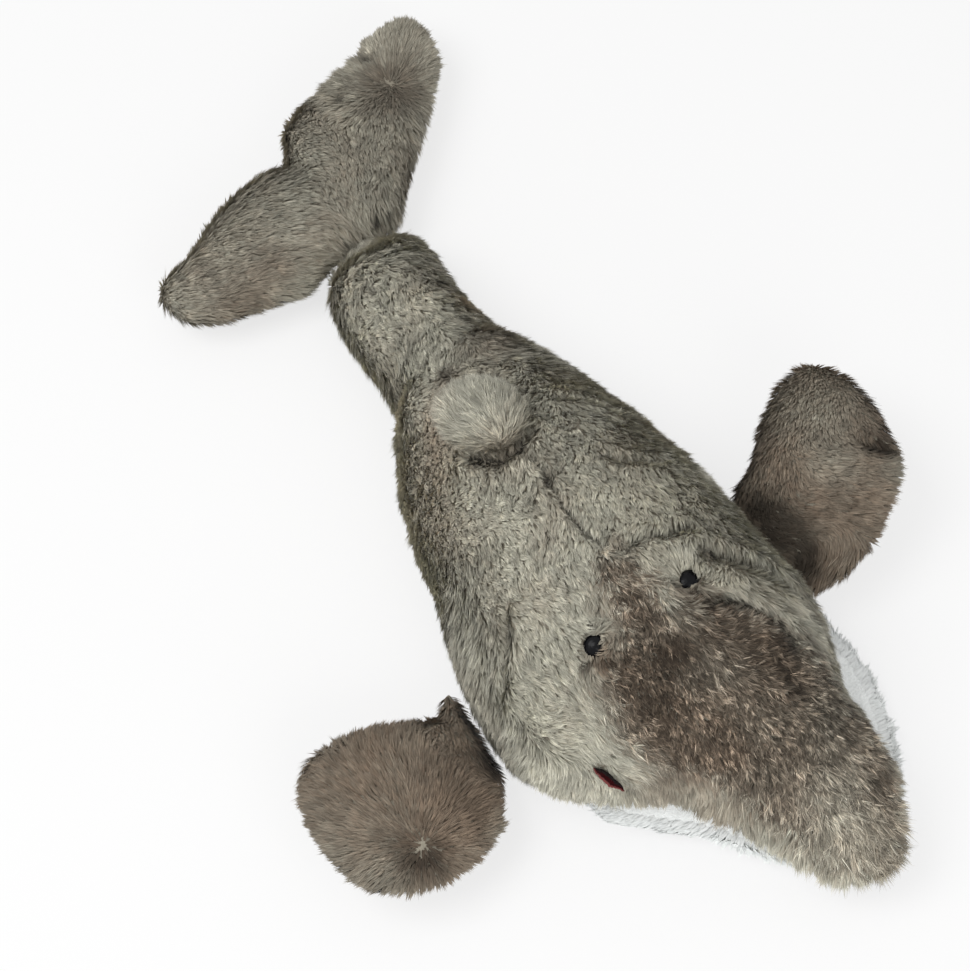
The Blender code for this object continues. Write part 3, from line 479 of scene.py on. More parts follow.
class Finish(Nodes):
    """A material while its nodes are laid out."""

    def __init__(self, name, roughness, **constants):
        self.material = bpy.data.materials.new(name)
        self.material.use_nodes = True
        super().__init__(self.material.node_tree)
        self.shader = self.tree.nodes["Principled BSDF"]
        self.set(Roughness=roughness, **constants)

    def set(self, **inputs):
        for key, value in inputs.items():
            self.put(self.shader.inputs[key.replace("_", " ")], value)

    def mix(self, a, b, share, blend="MIX"):
        return self.node("ShaderNodeMix", {0: share, 6: a, 7: b}, out=2, data_type="RGBA",
                         blend_type=blend)

    def scaled(self, colour, factor):
        """A colour times a number that varies over the surface."""
        grey = self.node("ShaderNodeCombineColor", {0: factor, 1: factor, 2: factor})
        return self.mix(colour, grey, 1.0, blend="MULTIPLY")

    def carried(self, name):
        """A number that the mesh carries at each point."""
        return self.node("ShaderNodeAttribute", out=2, attribute_name=name)

    def place(self):
        """The place on the piece, in its own frame."""
        self.at = self.at or self.node("ShaderNodeTexCoord", out="Object")
        return self.at

    def noise(self, size, detail=3.0, rough=0.55):
        """Noise with lumps of a size in metres."""
        return self.node("ShaderNodeTexNoise", {"Vector": self.place(), "Scale": 1 / size,
                                                "Detail": detail, "Roughness": rough},
                         noise_dimensions="3D")

    def bump(self, height, depth):
        """Bump of a height map whose full range is depth metres."""
        self.set(Normal=self.node("ShaderNodeBump", {"Strength": 1.0, "Distance": depth,
                                                     "Height": height}))


def pile_finish(name, tip, brown, root):
    """Pile: dark at the root, which is painted shade between the strands, and lighter to the tip,
    with each lock's own shade and brownness.
    """
    look = Finish(name, 0.78, Specular_IOR_Level=0.18, Sheen_Weight=0.10, Sheen_Roughness=0.5)
    reach, shade, warm = (look.carried(key) for key in ("reach", "shade", "warm"))
    colour = look.mix(tip, brown, warm)
    # darker towards the root: painted shade between the strands
    light = (root + (1 - root) * reach.smooth(0.0, 0.65)) * (0.10 + 1.80 * shade)
    share = reach.smooth(0.55, 1.0) * shade * (1 - 0.7 * warm) * 0.4
    pale = look.mix(colour, (0.64, 0.625, 0.56), share)
    look.set(Base_Color=look.scaled(pale, light))


def white_finish(name, white):
    """Short white pile, a little darker at the root: painted shade between the strands."""
    look = Finish(name, 0.80, Specular_IOR_Level=0.2, Sheen_Weight=0.10, Sheen_Roughness=0.5)
    reach, shade = look.carried("reach"), look.carried("shade")
    # darker towards the root: painted shade between the strands
    light = (0.90 + 0.10 * reach.smooth(0.0, 0.7)) * (0.90 + 0.14 * shade)
    look.set(Base_Color=look.scaled(white, light))


def backing_finish(name, colour):
    """Knitted backing: rows of small loops, uneven in colour."""
    look = Finish(name, 0.92, Specular_IOR_Level=0.15)
    patches, loops = look.noise(0.018), look.noise(0.0012, detail=1.0)
    look.set(Base_Color=look.scaled(colour, 0.7 + 0.5 * patches + 0.3 * loops))
    look.bump(loops, 0.0006)


def felt_finish(name, colour):
    """Pressed felt: short tangled fibres with darker and lighter specks."""
    look = Finish(name, 0.95, Specular_IOR_Level=0.08, Sheen_Weight=0.05)
    tangle, patches = look.noise(0.0009, detail=5.0, rough=0.7), look.noise(0.012)
    look.set(Base_Color=look.scaled(colour, 0.45 + 0.7 * tangle + 0.4 * patches))
    look.bump(tangle, 0.0005)


def wadding_finish(name, colour):
    """Loose polyester fibre: soft lumps crossed by fine strands."""
    look = Finish(name, 0.85, Specular_IOR_Level=0.2, Sheen_Weight=0.25)
    strands, lumps = look.noise(0.0014, detail=4.0, rough=0.75), look.noise(0.022, detail=2.0)
    look.set(Base_Color=look.scaled(colour, 0.80 + 0.14 * strands + 0.12 * lumps))
    look.bump(0.6 * strands + 0.4 * lumps, 0.0025)


def sheeting_finish(name, colour):
    """Plain-woven cotton: the higher of two crossing sets of yarns, each an upturned sine."""
    look = Finish(name, 0.88, Specular_IOR_Level=0.15)
    yarns = [(look.node("ShaderNodeSeparateXYZ", {0: look.place()}, out=way) * 2800.0)
             .maths("SINE").maths("ABSOLUTE") for way in ("X", "Y")]
    weave, slub = yarns[0].maths("MAXIMUM", yarns[1]), look.noise(0.004)
    look.set(Base_Color=look.scaled(colour, 0.62 + 0.3 * weave + 0.2 * slub))
    look.bump(weave, 0.0003)


def fitting_finish(name, colour, roughness, coat):
    """Moulded plastic: a faint flow pattern and fine scratches in its gloss."""
    look = Finish(name, roughness, Coat_Weight=coat, Coat_Roughness=0.08,
                  Specular_IOR_Level=0.1)
    flow, scratch = look.noise(0.004, detail=2.0), look.noise(0.0006, detail=4.0)
    look.set(Base_Color=look.scaled(colour, 0.85 + 0.3 * flow),
             Roughness=roughness * 0.8 + scratch * (roughness * 0.5))
    look.bump(scratch, 0.00002)


def floor_finish(name, colour):
    """The pale floor: plain for the light, and nearly white where it is shown."""
    look = Finish(name, 0.75, Base_Color=colour, Specular_IOR_Level=0.1)
    white = look.node("ShaderNodeEmission", {"Color": (1, 1, 1), "Strength": 1.0})
    both = look.node("ShaderNodeMixShader", {
        0: look.shown() * 0.72, 1: Socket(look, look.shader.outputs[0]), 2: white})
    look.put(look.tree.nodes["Material Output"].inputs["Surface"], both)


def looks():
    """The materials by name, made once."""
    if "backing" not in bpy.data.materials:
        held = bpy.context.scene.whale_colours
        grey, brown, white, backing, lining, eye = (
            tuple(getattr(held, key)) for key in WHALE_PG_colours.__annotations__)
        # The last number is how light a strand's root is painted: painted shade between the
        # strands.
        pile_finish("long_pile", grey, brown, 0.70)
        pile_finish("brow_pile", grey, brown, 0.14)
        white_finish("white_pile", white)
        backing_finish("backing", backing)
        backing_finish("white_backing", (0.86, 0.88, 0.87))
        felt_finish("lining_felt", lining)
        felt_finish("lip_felt", (0.19, 0.05, 0.047))
        # near-black felt laid in the mouth's slit as painted shade
        felt_finish("gap_felt", (0.010, 0.003, 0.003))
        wadding_finish("wadding", (0.85, 0.85, 0.82))
        sheeting_finish("sheeting", (0.62, 0.60, 0.54))
        fitting_finish("eye_gloss", eye, 0.22, 0.05)
        fitting_finish("washer_nylon", (0.75, 0.75, 0.72), 0.45, 0.0)
        floor_finish("pale_floor", tuple(bpy.context.scene.whale_stage.floor))
    return bpy.data.materials


# ---------------------------------------------------------------- meshes as whole arrays


def metres(mm):
    """Places or lengths in mm, as an array in metres."""
    return np.array(mm, float) / 1000


def unit(v):
    """Vectors made one long."""
    return v / (np.linalg.norm(v, axis=-1, keepdims=True) + 1e-12)


def norm(v):
    """The length of each vector."""
    return np.linalg.norm(v, axis=-1)


def new_mesh(name, points, corners, starts, material):
    """A mesh from arrays: points, the point of each corner, and each face's first corner."""
    mesh = bpy.data.meshes.new(name)
    mesh.vertices.add(len(points))
    mesh.vertices.foreach_set("co", np.asarray(points, np.float32).ravel())
    mesh.loops.add(len(corners))
    mesh.loops.foreach_set("vertex_index", np.asarray(corners, np.int32))
    mesh.polygons.add(len(starts))
    mesh.polygons.foreach_set("loop_start", np.asarray(starts, np.int32))
    mesh.polygons.foreach_set("use_smooth", np.ones(len(starts), bool))
    mesh.update(calc_edges=True)
    mesh.validate()
    mesh.materials.append(looks()[material])
    return linked(bpy.data.objects.new(name, mesh))


def triangle_mesh(name, points, faces, material):
    return new_mesh(name, points, faces.ravel(), np.arange(len(faces)) * 3, material)


def linked(made):
    """Puts an object into the scene."""
    bpy.context.scene.collection.objects.link(made)
    return made


def arrays(mesh):
    """A mesh's points and its triangles, as arrays."""
    mesh.calc_loop_triangles()
    points = np.empty(len(mesh.vertices) * 3, np.float32)
    mesh.vertices.foreach_get("co", points)
    faces = np.empty(len(mesh.loop_triangles) * 3, np.int32)
    mesh.loop_triangles.foreach_get("vertices", faces)
    return points.reshape(-1, 3).astype(float), faces.reshape(-1, 3)


def corners_of(points, faces):
    """The first, second and third point of each triangle, as three arrays."""
    return (points[faces[:, k]] for k in range(3))


def point_normals(points, faces):
    """The area-weighted mean of the face normals round each point."""
    a, b, c = corners_of(points, faces)
    flat = np.cross(b - a, c - a)
    total = np.zeros_like(points)
    for k in range(3):
        np.add.at(total, faces[:, k], flat)
    return unit(total)


def ripple(points, size, seed, waves=18):
    """Smooth noise from -1 to 1: the mean of many plane waves in random directions, whose
    length is about size metres."""
    rng = np.random.default_rng(seed)
    ways = unit(rng.normal(size=(waves, 3))) * (2 * math.pi / size)
    ways *= rng.uniform(0.6, 1.4, (waves, 1))
    phase = rng.uniform(0, 2 * math.pi, waves)
    total = np.cos(points @ ways.T + phase).sum(1)
    return np.clip(total * math.sqrt(2 / waves) / 2, -1, 1)


def nearest(points, places, step=4000):
    """The index of the place nearest to each point, worked out in blocks."""
    square = (places ** 2).sum(1)
    found = np.empty(len(points), int)
    for k in range(0, len(points), step):
        block = points[k:k + step]
        found[k:k + step] = np.argmin(square - 2 * block @ places.T, axis=1)
    return found


def path_distance(points, path):
    """The distance in metres from each point to a line through places in mm."""
    path = metres(path)
    near = np.full(len(points), 1e9)
    for a, b in zip(path[:-1], path[1:]):
        share = np.clip((points - a) @ (b - a) / ((b - a) @ (b - a)), 0, 1)
        near = np.minimum(near, norm(points - a - share[:, None] * (b - a)))
    return near


def joined_copy(name, nodes):
    """One temporary object that holds merged copies of CAD nodes."""
    bm = bmesh.new()
    for node in nodes:
        bm.from_mesh(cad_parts[node].data)
    bmesh.ops.remove_doubles(bm, verts=bm.verts, dist=1e-6)
    mesh = bpy.data.meshes.new(name)
    bm.to_mesh(mesh)
    bm.free()
    return linked(bpy.data.objects.new(name, mesh))


def settled(temporary):
    """Replaces a temporary object's mesh by what its modifiers make of it, and drops them."""
    graph = bpy.context.evaluated_depsgraph_get()
    mesh = bpy.data.meshes.new_from_object(temporary.evaluated_get(graph))
    temporary.modifiers.clear()
    temporary.data = mesh


def blown_up(temporary, pressure, cap):
    """Blows a temporary object up as cloth, each point held within cap of where it was."""
    before, _ = arrays(temporary.data)
    cloth = temporary.modifiers.new("Cloth", "CLOTH")
    cloth.settings.use_pressure = True
    cloth.settings.uniform_pressure_force = pressure
    cloth.settings.quality = 4
    cloth.settings.effector_weights.gravity = 0
    for step in range(CLOTH_STEPS):
        bpy.context.scene.frame_set(step + 1)
    settled(temporary)
    bpy.context.scene.frame_set(1)
    moved = arrays(temporary.data)[0] - before
    after = before + moved * np.minimum(1, cap / (norm(moved)[:, None] + 1e-9))
    after[:, 2] = np.maximum(after[:, 2], CLOTH_FLOOR + 0.0001)
    temporary.data.vertices.foreach_set("co", after.astype(np.float32).ravel())


def stuffed(nodes, voxel, pressure=4.0, cap=0.004, smooth=4, finer=1):
    """The closed skin round some nodes: remeshed, smoothed, blown up a little as cloth under
    pressure, and divided. Returns points and triangles."""
    temporary = joined_copy("skin_work", nodes)
    remesh = temporary.modifiers.new("Remesh", "REMESH")
    remesh.mode, remesh.voxel_size = "VOXEL", voxel
    settled(temporary)
    relax = temporary.modifiers.new("Smooth", "SMOOTH")
    relax.factor, relax.iterations = 0.5, smooth
    settled(temporary)
    if pressure:
        blown_up(temporary, pressure, cap)
    if finer:
        divide = temporary.modifiers.new("Subdivision", "SUBSURF")
        divide.levels = divide.render_levels = finer
        settled(temporary)
    points, faces = arrays(temporary.data)
    bpy.data.objects.remove(temporary)
    points[:, 2] = np.maximum(points[:, 2], CLOTH_FLOOR)
    return points, faces


def folded(points, faces):
    """Presses the folds into a skin, and returns it: a point sinks by depth times a bell of its
    distance to the fold, and rises a third of that on both sides. A fold is shallower at its
    ends."""
    normals = point_normals(points, faces)
    shift = np.zeros(len(points))
    for width, depth, *path in FOLDS:
        near = path_distance(points, path)
        width, depth = width / 1000, depth / 1000
        ends = np.minimum(*(norm(points - metres(end)) for end in (path[0], path[-1])))
        fade = np.clip(ends / (2 * width), 0.35, 1)
        shift -= depth * fade * np.exp(-(near / width) ** 2)
        shift += depth / 3 * fade * np.exp(-((near - 1.9 * width) / width) ** 2)
    moved = points + normals * shift[:, None]
    moved[:, 2] = np.maximum(moved[:, 2], CLOTH_FLOOR)
    return moved, faces


def owners(skin, panels):
    """The index of the panel whose CAD surface is nearest to each triangle of a skin. The
    surface is taken at four places on each CAD triangle."""
    points, faces = skin
    places, owner = [], []
    for k, panel in enumerate(panels):
        a, b, c = corners_of(*arrays(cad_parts[panel].data))
        places += [(a + b + c) / 3, (4 * a + b + c) / 6, (a + 4 * b + c) / 6,
                   (a + b + 4 * c) / 6]
        owner.append(np.full(4 * len(a), k))
    found = nearest(points[faces].mean(1), np.concatenate(places))
    return np.concatenate(owner)[found]


# ---------------------------------------------------------------- the pile

KITE = np.array([0, 2, 1, 1, 2, 3])  # corners of a strand's two triangles
ALONG = np.array([0.0, 0.55, 0.55, 1.0])  # how far up its strand each point of a kite is
ASIDE = np.array([0.5, 0.9, 0.1, 0.5])  # and how far across its column of the palette
SEAM_MIX = 0.0075  # how far from their seam the colours of two piles mix
FAN_REACH = 0.022  # how far from the middle of a fan its locks have their full length


def bell(points, place, size):
    """1 at a place in mm, falling as a bell whose reach is size mm."""
    near = ((points - metres(place)) ** 2).sum(1)
    return np.exp(-near / (2 * (size / 1000) ** 2))


def combed(points, normals, length, rise):
    """The way the pile lies at each point, its length and its angle: the comb's marks weighted
    by a bell of their distance, over a faint lie towards the snout."""
    way = np.tile((0.0, -0.02, -0.006), (len(points), 1))
    total = np.full(len(points), 0.15)
    reach, climb = total * length, total * rise
    for *place, x, y, z, size, own_length, own_rise in COMB:
        near = bell(points, place, size)
        way += near[:, None] * (x, y, z)
        total = total + near
        reach += near * (own_length / 1000 or length)
        climb += near * (math.radians(own_rise) or rise)
    for *place, size, strength in WHORLS:
        out = unit(points - metres(place))
        way += (strength * bell(points, place, size))[:, None] * out
    for _, place, long in EYES:
        out = unit(points - metres(place))
        lean = 6.0 * bell(points, place, 7.0) * (2 * (out @ unit(long)) ** 2 - 0.8)
        way += lean[:, None] * out
    way -= (way * normals).sum(1, keepdims=True) * normals
    return unit(way), reach / total, climb / total


def creased(points):
    """How deep each point lies in a narrow fold, from 0 to 1."""
    deep = np.zeros(len(points))
    for width, depth, *path in FOLDS:
        if width < BROAD_FOLD:
            near = path_distance(points, path)
            deep = np.maximum(deep, depth / 5 * np.exp(-(near / (1.1 * width / 1000)) ** 2))
    return deep


def shaded(points, base, warm):
    """How light and how brown the pile is at each point: its own tone, and the painted shade of the
    small dark marks in SHADES.
    """
    light = base + 0.05 * ripple(points, 0.035, 3) + 0.04 * ripple(points, 0.010, 5)
    brown = np.full(len(points), warm) + 0.12 * ripple(points, 0.050, 4)
    for *place, size, more, browner in SHADES:
        near = bell(points, place, size)
        light += more * near
        brown += browner * near
    return np.clip(light, 0.02, 1), np.clip(brown, 0, 1)


def scattered(points, faces, spacing, rng):
    """Evenly scattered places on triangles: equal shares of the running area, and one random
    place in each. Returns the places and the face of each."""
    a, b, c = corners_of(points, faces)
    area = norm(np.cross(b - a, c - a)) / 2
    count = max(1, int(area.sum() / spacing))
    run = np.cumsum(area)
    pick = (np.arange(count) + rng.uniform(size=count)) / count * run[-1]
    face = np.minimum(np.searchsorted(run, pick), len(faces) - 1)
    u, v = rng.uniform(size=(2, count, 1))
    over = u + v > 1
    u, v = np.where(over, 1 - u, u), np.where(over, 1 - v, v)
    return a[face] + u * (b - a)[face] + v * (c - a)[face], face


class Pile:
    """The pile of one cover: locks of strands, each a kite of four points, root, two sides and
    tip, along a curve that leaves the cloth steeply and bends over the way the pile is combed.
    The strands of a lock lean to its tip, and locks lean to the middle of their tuft."""

    material = "long_pile"
    width = 1.0  # times the shared width of a strand
    wild = 1.0  # how far locks turn out of the combed way
    mottle, clump, speckle = 1.0, 1.0, 0.14  # unevenness of locks, of tufts and of strands
    sky = 0.0  # how far the strands' faces turn upwards
    middle = None  # the place from which the pile fans out
    beyond = None  # places of another pile, and how much lighter and browner it makes this one

    def __init__(self, length, density, rise, base, warm, seed, **own):
        self.length, self.density, self.rise = length, density, rise
        self.base, self.warm = base, warm
        self.settings = bpy.context.scene.whale_pile
        self.rng = np.random.default_rng(self.settings.seed + seed)
        for key, value in own.items():
            setattr(self, key, value)

    def varied(self, own, shared):
        """A random number for each lock, and one for its tuft."""
        return (own * self.rng.normal(size=len(self.roots))
                + shared * self.rng.normal(size=len(self.middles))[self.tuft])

    def take_root(self, points, faces, normals):
        """Puts the locks on the cloth, but not on the eyes and lips, and gathers tufts."""
        spacing = self.settings.lock / self.density * 1e-6
        roots, face = scattered(points, faces, spacing, self.rng)
        up = unit(normals[faces[face]].mean(1))
        eye = np.min(norm(roots[:, None] - metres(EYES[:, 0])), axis=1)
        lips = path_distance(roots, MOUTH)
        keep = (eye > EYE_CLEAR) & (lips > LIPS_CLEAR)
        self.roots, self.up, self.eye, self.lips = roots[keep], up[keep], eye[keep], lips[keep]
        count = len(self.roots)
        self.middles = self.roots[self.rng.permutation(count)[:max(1, count // TUFT)]]
        self.tuft = nearest(self.roots, self.middles)
        self.fold = creased(self.roots)

    def comb(self):
        """Gives each lock its way, length and angle, uneven from lock to lock and tuft to
        tuft. It is shorter in a fold, at an eye and at the lips, and lies flatter uphill."""
        roots, up, eye, wild = self.roots, self.up, self.eye, self.wild
        way, reach, climb = combed(roots, up, self.length, self.rise)
        if self.middle is not None:
            way = roots - self.middle
            reach = self.length * np.clip(norm(way) / FAN_REACH, 0.35, 1)
            way = unit(way - (way * up).sum(1, keepdims=True) * up)
        side = np.cross(up, way)
        turn = (self.varied(0.10 * min(self.mottle, 3), 0.18) * wild
                + 0.28 * wild * ripple(roots, 0.030, 21))
        turn *= np.clip(eye / 0.018 - 0.2, 0.2, 1)
        self.lie = unit(way * np.cos(turn)[:, None] + side * np.sin(turn)[:, None])
        reach = reach * np.clip(1 + self.varied(0.08, 0.07), 0.6, 1.4) * (1 - 0.55 * self.fold)
        climb = np.clip(climb + self.varied(0.05, 0.07) * wild, math.radians(10),
                        math.radians(80))
        self.uphill = np.clip(self.lie[:, 2], 0, 1)
        climb *= 1 - 0.45 * self.uphill
        reach *= (np.clip((eye + 0.004) / 0.012, 0.3, 1)
                  * np.clip((self.lips + 0.002) / 0.014, 0.3, 1))
        climb += math.radians(30) * np.exp(-(eye / 0.009) ** 2)
        self.reach, self.climb = reach, climb

    def part_over_eyes(self):
        """Shortens locks until none ends in the drop-shaped openings over the eyes."""
        half_length, half_width = OPENING
        for _, place, long in EYES:
            long = unit(long)
            for _ in range(4):
                tips = (self.roots + self.reach[:, None] * np.cos(self.climb)[:, None] * self.lie
                        - metres(place))
                down = tips @ long
                across = norm(tips - down[:, None] * long
                              - (tips * self.up).sum(1, keepdims=True) * self.up)
                wide = half_width * (1 + 45 * down)
                inside = (down / half_length) ** 2 + (across / wide) ** 2 < 1
                self.reach *= np.where(inside, 0.75, 1)

    def dye(self):
        """Gives each lock its shade and brownness. Locks deep in a narrow fold are painted darker,
        a painted shade of the crease, and locks that lie uphill are painted lighter, a painted
        light against the shade they fall in. Next to a seam with another colour of pile the two
        mix."""
        light, brown = shaded(self.roots, self.base, self.warm)
        uneven = np.clip(self.base / light, 0.4, 1)
        spread = (0.12 * self.mottle, 0.10 * self.clump)
        light *= np.exp(self.varied(*spread) * uneven - np.dot(spread, spread) / 2 * uneven ** 2)
        # painted light on uphill locks, and painted shade in narrow folds
        light += 0.12 * self.uphill - 0.34 * self.fold
        brown += self.varied(0.05, 0.04)
        if self.beyond is not None:
            places, lighter, browner = self.beyond
            gap = norm(self.roots - places[nearest(self.roots, places)])
            mixed = np.clip(1.1 - gap / SEAM_MIX + self.varied(0.15, 0.40), 0, 1)
            light, brown = light + lighter * mixed, brown + browner * mixed
        self.light, self.brown = light, brown

    def kites(self):
        """The points of all strands, and the way in which each strand's face looks."""
        rng, lock = self.rng, self.settings.lock
        each = (len(self.roots), lock, 1)
        radius = 0.9 * math.sqrt(lock / self.density / math.pi) / 1000
        spread = radius * np.sqrt(rng.uniform(size=each))
        angle = rng.uniform(0, 2 * math.pi, each)
        roots, up, lie = self.roots[:, None], self.up[:, None], self.lie[:, None]
        side = np.cross(up, lie)
        off = spread * (np.cos(angle) * lie + np.sin(angle) * side)
        under = rng.uniform(size=each) < UNDERCOAT
        own = self.reach[:, None, None] * (1 + 0.11 * rng.normal(size=each))
        own *= np.where(under, 0.80, 1.0)
        climb = self.climb[:, None, None]
        gather = unit(self.middles[self.tuft] - self.roots)[:, None] * 0.06 * own
        start = roots + off - BELOW * up - 0.16 * own * np.cos(climb) * lie
        tip = roots + 0.8 * off + gather + own * (np.cos(climb) * lie + np.sin(climb) * up)
        tip = tip + own * rng.normal(0, 0.05 * self.wild, (*each[:2], 3))
        bend = start + own * ((0.16 + 0.30 * np.sin(climb)) * up + 0.50 * np.cos(climb) * lie)
        belly = 0.25 * start + 0.5 * bend + 0.25 * tip
        half = 0.5 * self.settings.width * self.width * rng.uniform(0.7, 1.3, each)
        half *= np.where(under, 1.7, 0.95)
        roll = rng.uniform(-0.45, 0.45, each)
        flat = (np.cos(roll) * side + np.sin(roll) * up) * half
        blade = unit(np.cross(tip - start, flat))
        seen = up + (1.6 + self.sky) * np.array(FACED)
        over = np.where((blade * seen).sum(-1, keepdims=True) < 0, -1, 1)
        flat, blade = flat * over, blade * over
        points = np.stack([start, belly + flat, belly - flat, tip], axis=2).reshape(-1, 3)
        points[:, 2] = np.maximum(points[:, 2], PILE_FLOOR)
        return points, blade

    def soften(self, made, blade):
        """Lights the pile as the soft surface that it makes: each strand faces nearly as its
        cloth does."""
        up = self.up[:, None]
        weight = np.where((blade * up).sum(-1, keepdims=True) < 0.2, 1.4, 0.6)
        soft = up + 0.12 * self.rng.normal(size=blade.shape) + (0, 0, self.sky)
        root, side, end = (soft * a + weight * b * blade
                           for a, b in ((0.3, 2.0), (1, 1.2), (1, 0.8)))
        facing = unit(np.stack([root, side, side, end], axis=2)).reshape(-1, 3)
        made.data.normals_split_custom_set_from_vertices(facing.tolist())

    def carry(self, made):
        """Lets the mesh carry each strand's shade and brownness, and its place in a palette
        map: shade runs across in columns, and each row is one brownness."""
        (columns, rows), lock = PALETTE, self.settings.lock
        strands = len(self.roots) * lock
        shade = np.repeat(self.light, lock) * np.exp(self.speckle * self.rng.normal(size=strands))
        shade = np.clip(shade, 0.01, 1)
        brown = np.clip(np.repeat(self.brown, lock), 0, 1)
        column = np.floor(shade * (columns - 0.001)) / columns
        row = np.floor(brown * (rows - 0.001)) / rows
        carried = {"reach": np.tile(ALONG, strands),
                   "shade": np.repeat(column + 0.5 / columns, 4),
                   "warm": np.repeat(row * rows / (rows - 1), 4)}
        for key, value in carried.items():
            layer = made.data.attributes.new(key, "FLOAT", "POINT")
            layer.data.foreach_set("value", value.astype(np.float32))
        places = np.stack([column[:, None] + ASIDE[KITE] / columns,
                           row[:, None] + (0.05 + 0.9 * ALONG[KITE]) / rows], -1)
        layer = made.data.uv_layers.new(name="OFBake")
        layer.data.foreach_set("uv", places.astype(np.float32).ravel())

    def grown(self, name, points, faces, normals):
        """The pile on some triangles of a skin, as one mesh."""
        self.take_root(points, faces, normals)
        self.comb()
        self.part_over_eyes()
        self.dye()
        kites, blade = self.kites()
        corners = np.arange(len(kites) // 4)[:, None] * 4 + KITE
        made = triangle_mesh(name, kites, corners.reshape(-1, 3), self.material)
        self.soften(made, blade)
        self.carry(made)
        return made


def bend_tail(piece):
    """Bakes the piece's place into its mesh."""
    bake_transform(piece)


def rides(body):
    """A function that makes a piece move with a body."""
    return lambda piece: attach(piece, body)


def dress(name, skin, owner, covers, piles, place, backing="backing"):
    """Makes the shown skin of a stuffed part, which stands for its covers, and the pile of each
    cover on the triangles that are its own."""
    points, faces = skin
    made = triangle_mesh(name, points, faces, backing)
    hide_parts(*covers)
    next(iter(covers.values()))
    place(made)
    normals = point_normals(points, faces)
    for k, ((cover, slot), pile) in enumerate(zip(covers.items(), piles)):
        grown = pile.grown("pile_" + cover, points, faces[owner == k], normals)
        place(grown)


def dress_limb(name, body, covers, fill, seed, **kind):
    """Dresses a flat limb, whose pile is thinner underneath."""
    skin = folded(*stuffed([*covers, name + "_filling"], 0.0035, cap=0.003))
    dense = bpy.context.scene.whale_pile.density
    piles = [Pile(density=density, seed=seed + k, wild=0.7, **kind)
             for k, density in enumerate((dense, 1.4))]
    dress(name + "_skin", skin, owners(skin, covers), covers, piles, rides(body))


# ---------------------------------------------------------------- operators


class WHALE_OT_body(bpy.types.Operator):
    """Makes the body, head and tail stock: one puffed skin, and the pile of each panel"""

    bl_idname = "whale.body"
    bl_label = "Body"

    def execute(self, context):
        s = context.scene.whale_pile
        solids = [*BODY_COVERS, "body_filling", "head_filling", "stock_filling"]
        points, faces = skin = folded(*stuffed(solids, 0.0045, smooth=14))
        owner = owners(skin, BODY_COVERS)
        slots = np.array(list(BODY_COVERS.values()))[owner]
        grey, dark = (points[faces[slots == slot]].mean(1) for slot in ("pile_grey", "pile_dark"))
        kinds = {
            "pile_grey": dict(length=s.length, density=s.density, rise=s.rise, base=0.46,
                              warm=0.12, clump=1.4, speckle=0.16,
                              beyond=(dark[::2], -0.10, 0.30)),
            "pile_dark": dict(material="brow_pile", length=0.0060, density=4.2,
                              rise=math.radians(38), base=0.19, warm=0.65, width=0.85, wild=1.3,
                              mottle=6.0, clump=4.0, speckle=0.45,
                              beyond=(grey[::4], 0.24, -0.45)),
            "pile_white": dict(material="white_pile", length=0.007, density=1.3,
                               rise=math.radians(60), base=0.46, warm=0.12, clump=1.4,
                               speckle=0.16, sky=0.6),
        }
        piles = [Pile(seed=k, **kinds[slot]) for k, slot in enumerate(BODY_COVERS.values())]
        dress("body_skin", skin, owner, BODY_COVERS, piles, bend_tail)
        return {"FINISHED"}


class WHALE_OT_flukes(bpy.types.Operator):
    """Makes the tail flukes"""

    bl_idname = "whale.flukes"
    bl_label = "Flukes"

    def execute(self, context):
        dress_limb("fluke", "flukes", FLUKE_COVERS, 0.5, seed=20, length=0.0080,
                   rise=context.scene.whale_pile.rise, base=0.39, warm=0.25)
        return {"FINISHED"}


class WHALE_OT_flippers(bpy.types.Operator):
    """Makes the two flippers"""

    bl_idname = "whale.flippers"
    bl_label = "Flippers"

    def execute(self, context):
        for name, seed in (("flipper_left", 30), ("flipper_right", 32)):
            covers = {name + "_top": "pile_brown", name + "_bottom": "pile_brown"}
            dress_limb(name, name, covers, 0.6, seed=seed, length=0.0074,
                       rise=math.radians(27), base=0.24, warm=0.75)
        return {"FINISHED"}


def laid_over(points):
    """The fin's points, a little lower and wider than its solid, and laid over to one side."""
    tall, wide = np.array([(0.509, 0.701, 0.5), (0.809, -0.588, 0.0)])
    corners = np.array(np.meshgrid(*np.transpose([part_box(p) for p in FIN_COVERS]).reshape(3, -1)))
    corners = corners.reshape(3, -1).T
    foot, middle = (corners @ tall).min() + 0.012, (corners @ wide).mean()
    points = points - (0.16 * (points @ tall - foot) + 0.004)[:, None] * tall
    return points + (0.06 * (points @ wide - middle) - 0.0035)[:, None] * wide


class WHALE_OT_fin(bpy.types.Operator):
    """Makes the round fin on the back"""

    bl_idname = "whale.fin"
    bl_label = "Back fin"

    def execute(self, context):
        points, faces = stuffed([*FIN_COVERS, "dorsal_fin_filling"], 0.002, cap=0.002)
        skin = laid_over(points), faces
        piles = [Pile(length=0.0088, density=4.6, rise=math.radians(30), base=0.42, warm=0.10,
                      seed=40 + k, width=0.7, wild=1.2, mottle=1.5, clump=1.8, speckle=0.3,
                      middle=np.array(FIN_FOOT)) for k in range(len(FIN_COVERS))]
        dress("fin_skin", skin, owners(skin, FIN_COVERS), FIN_COVERS, piles,
              rides("dorsal_fin"))
        return {"FINISHED"}


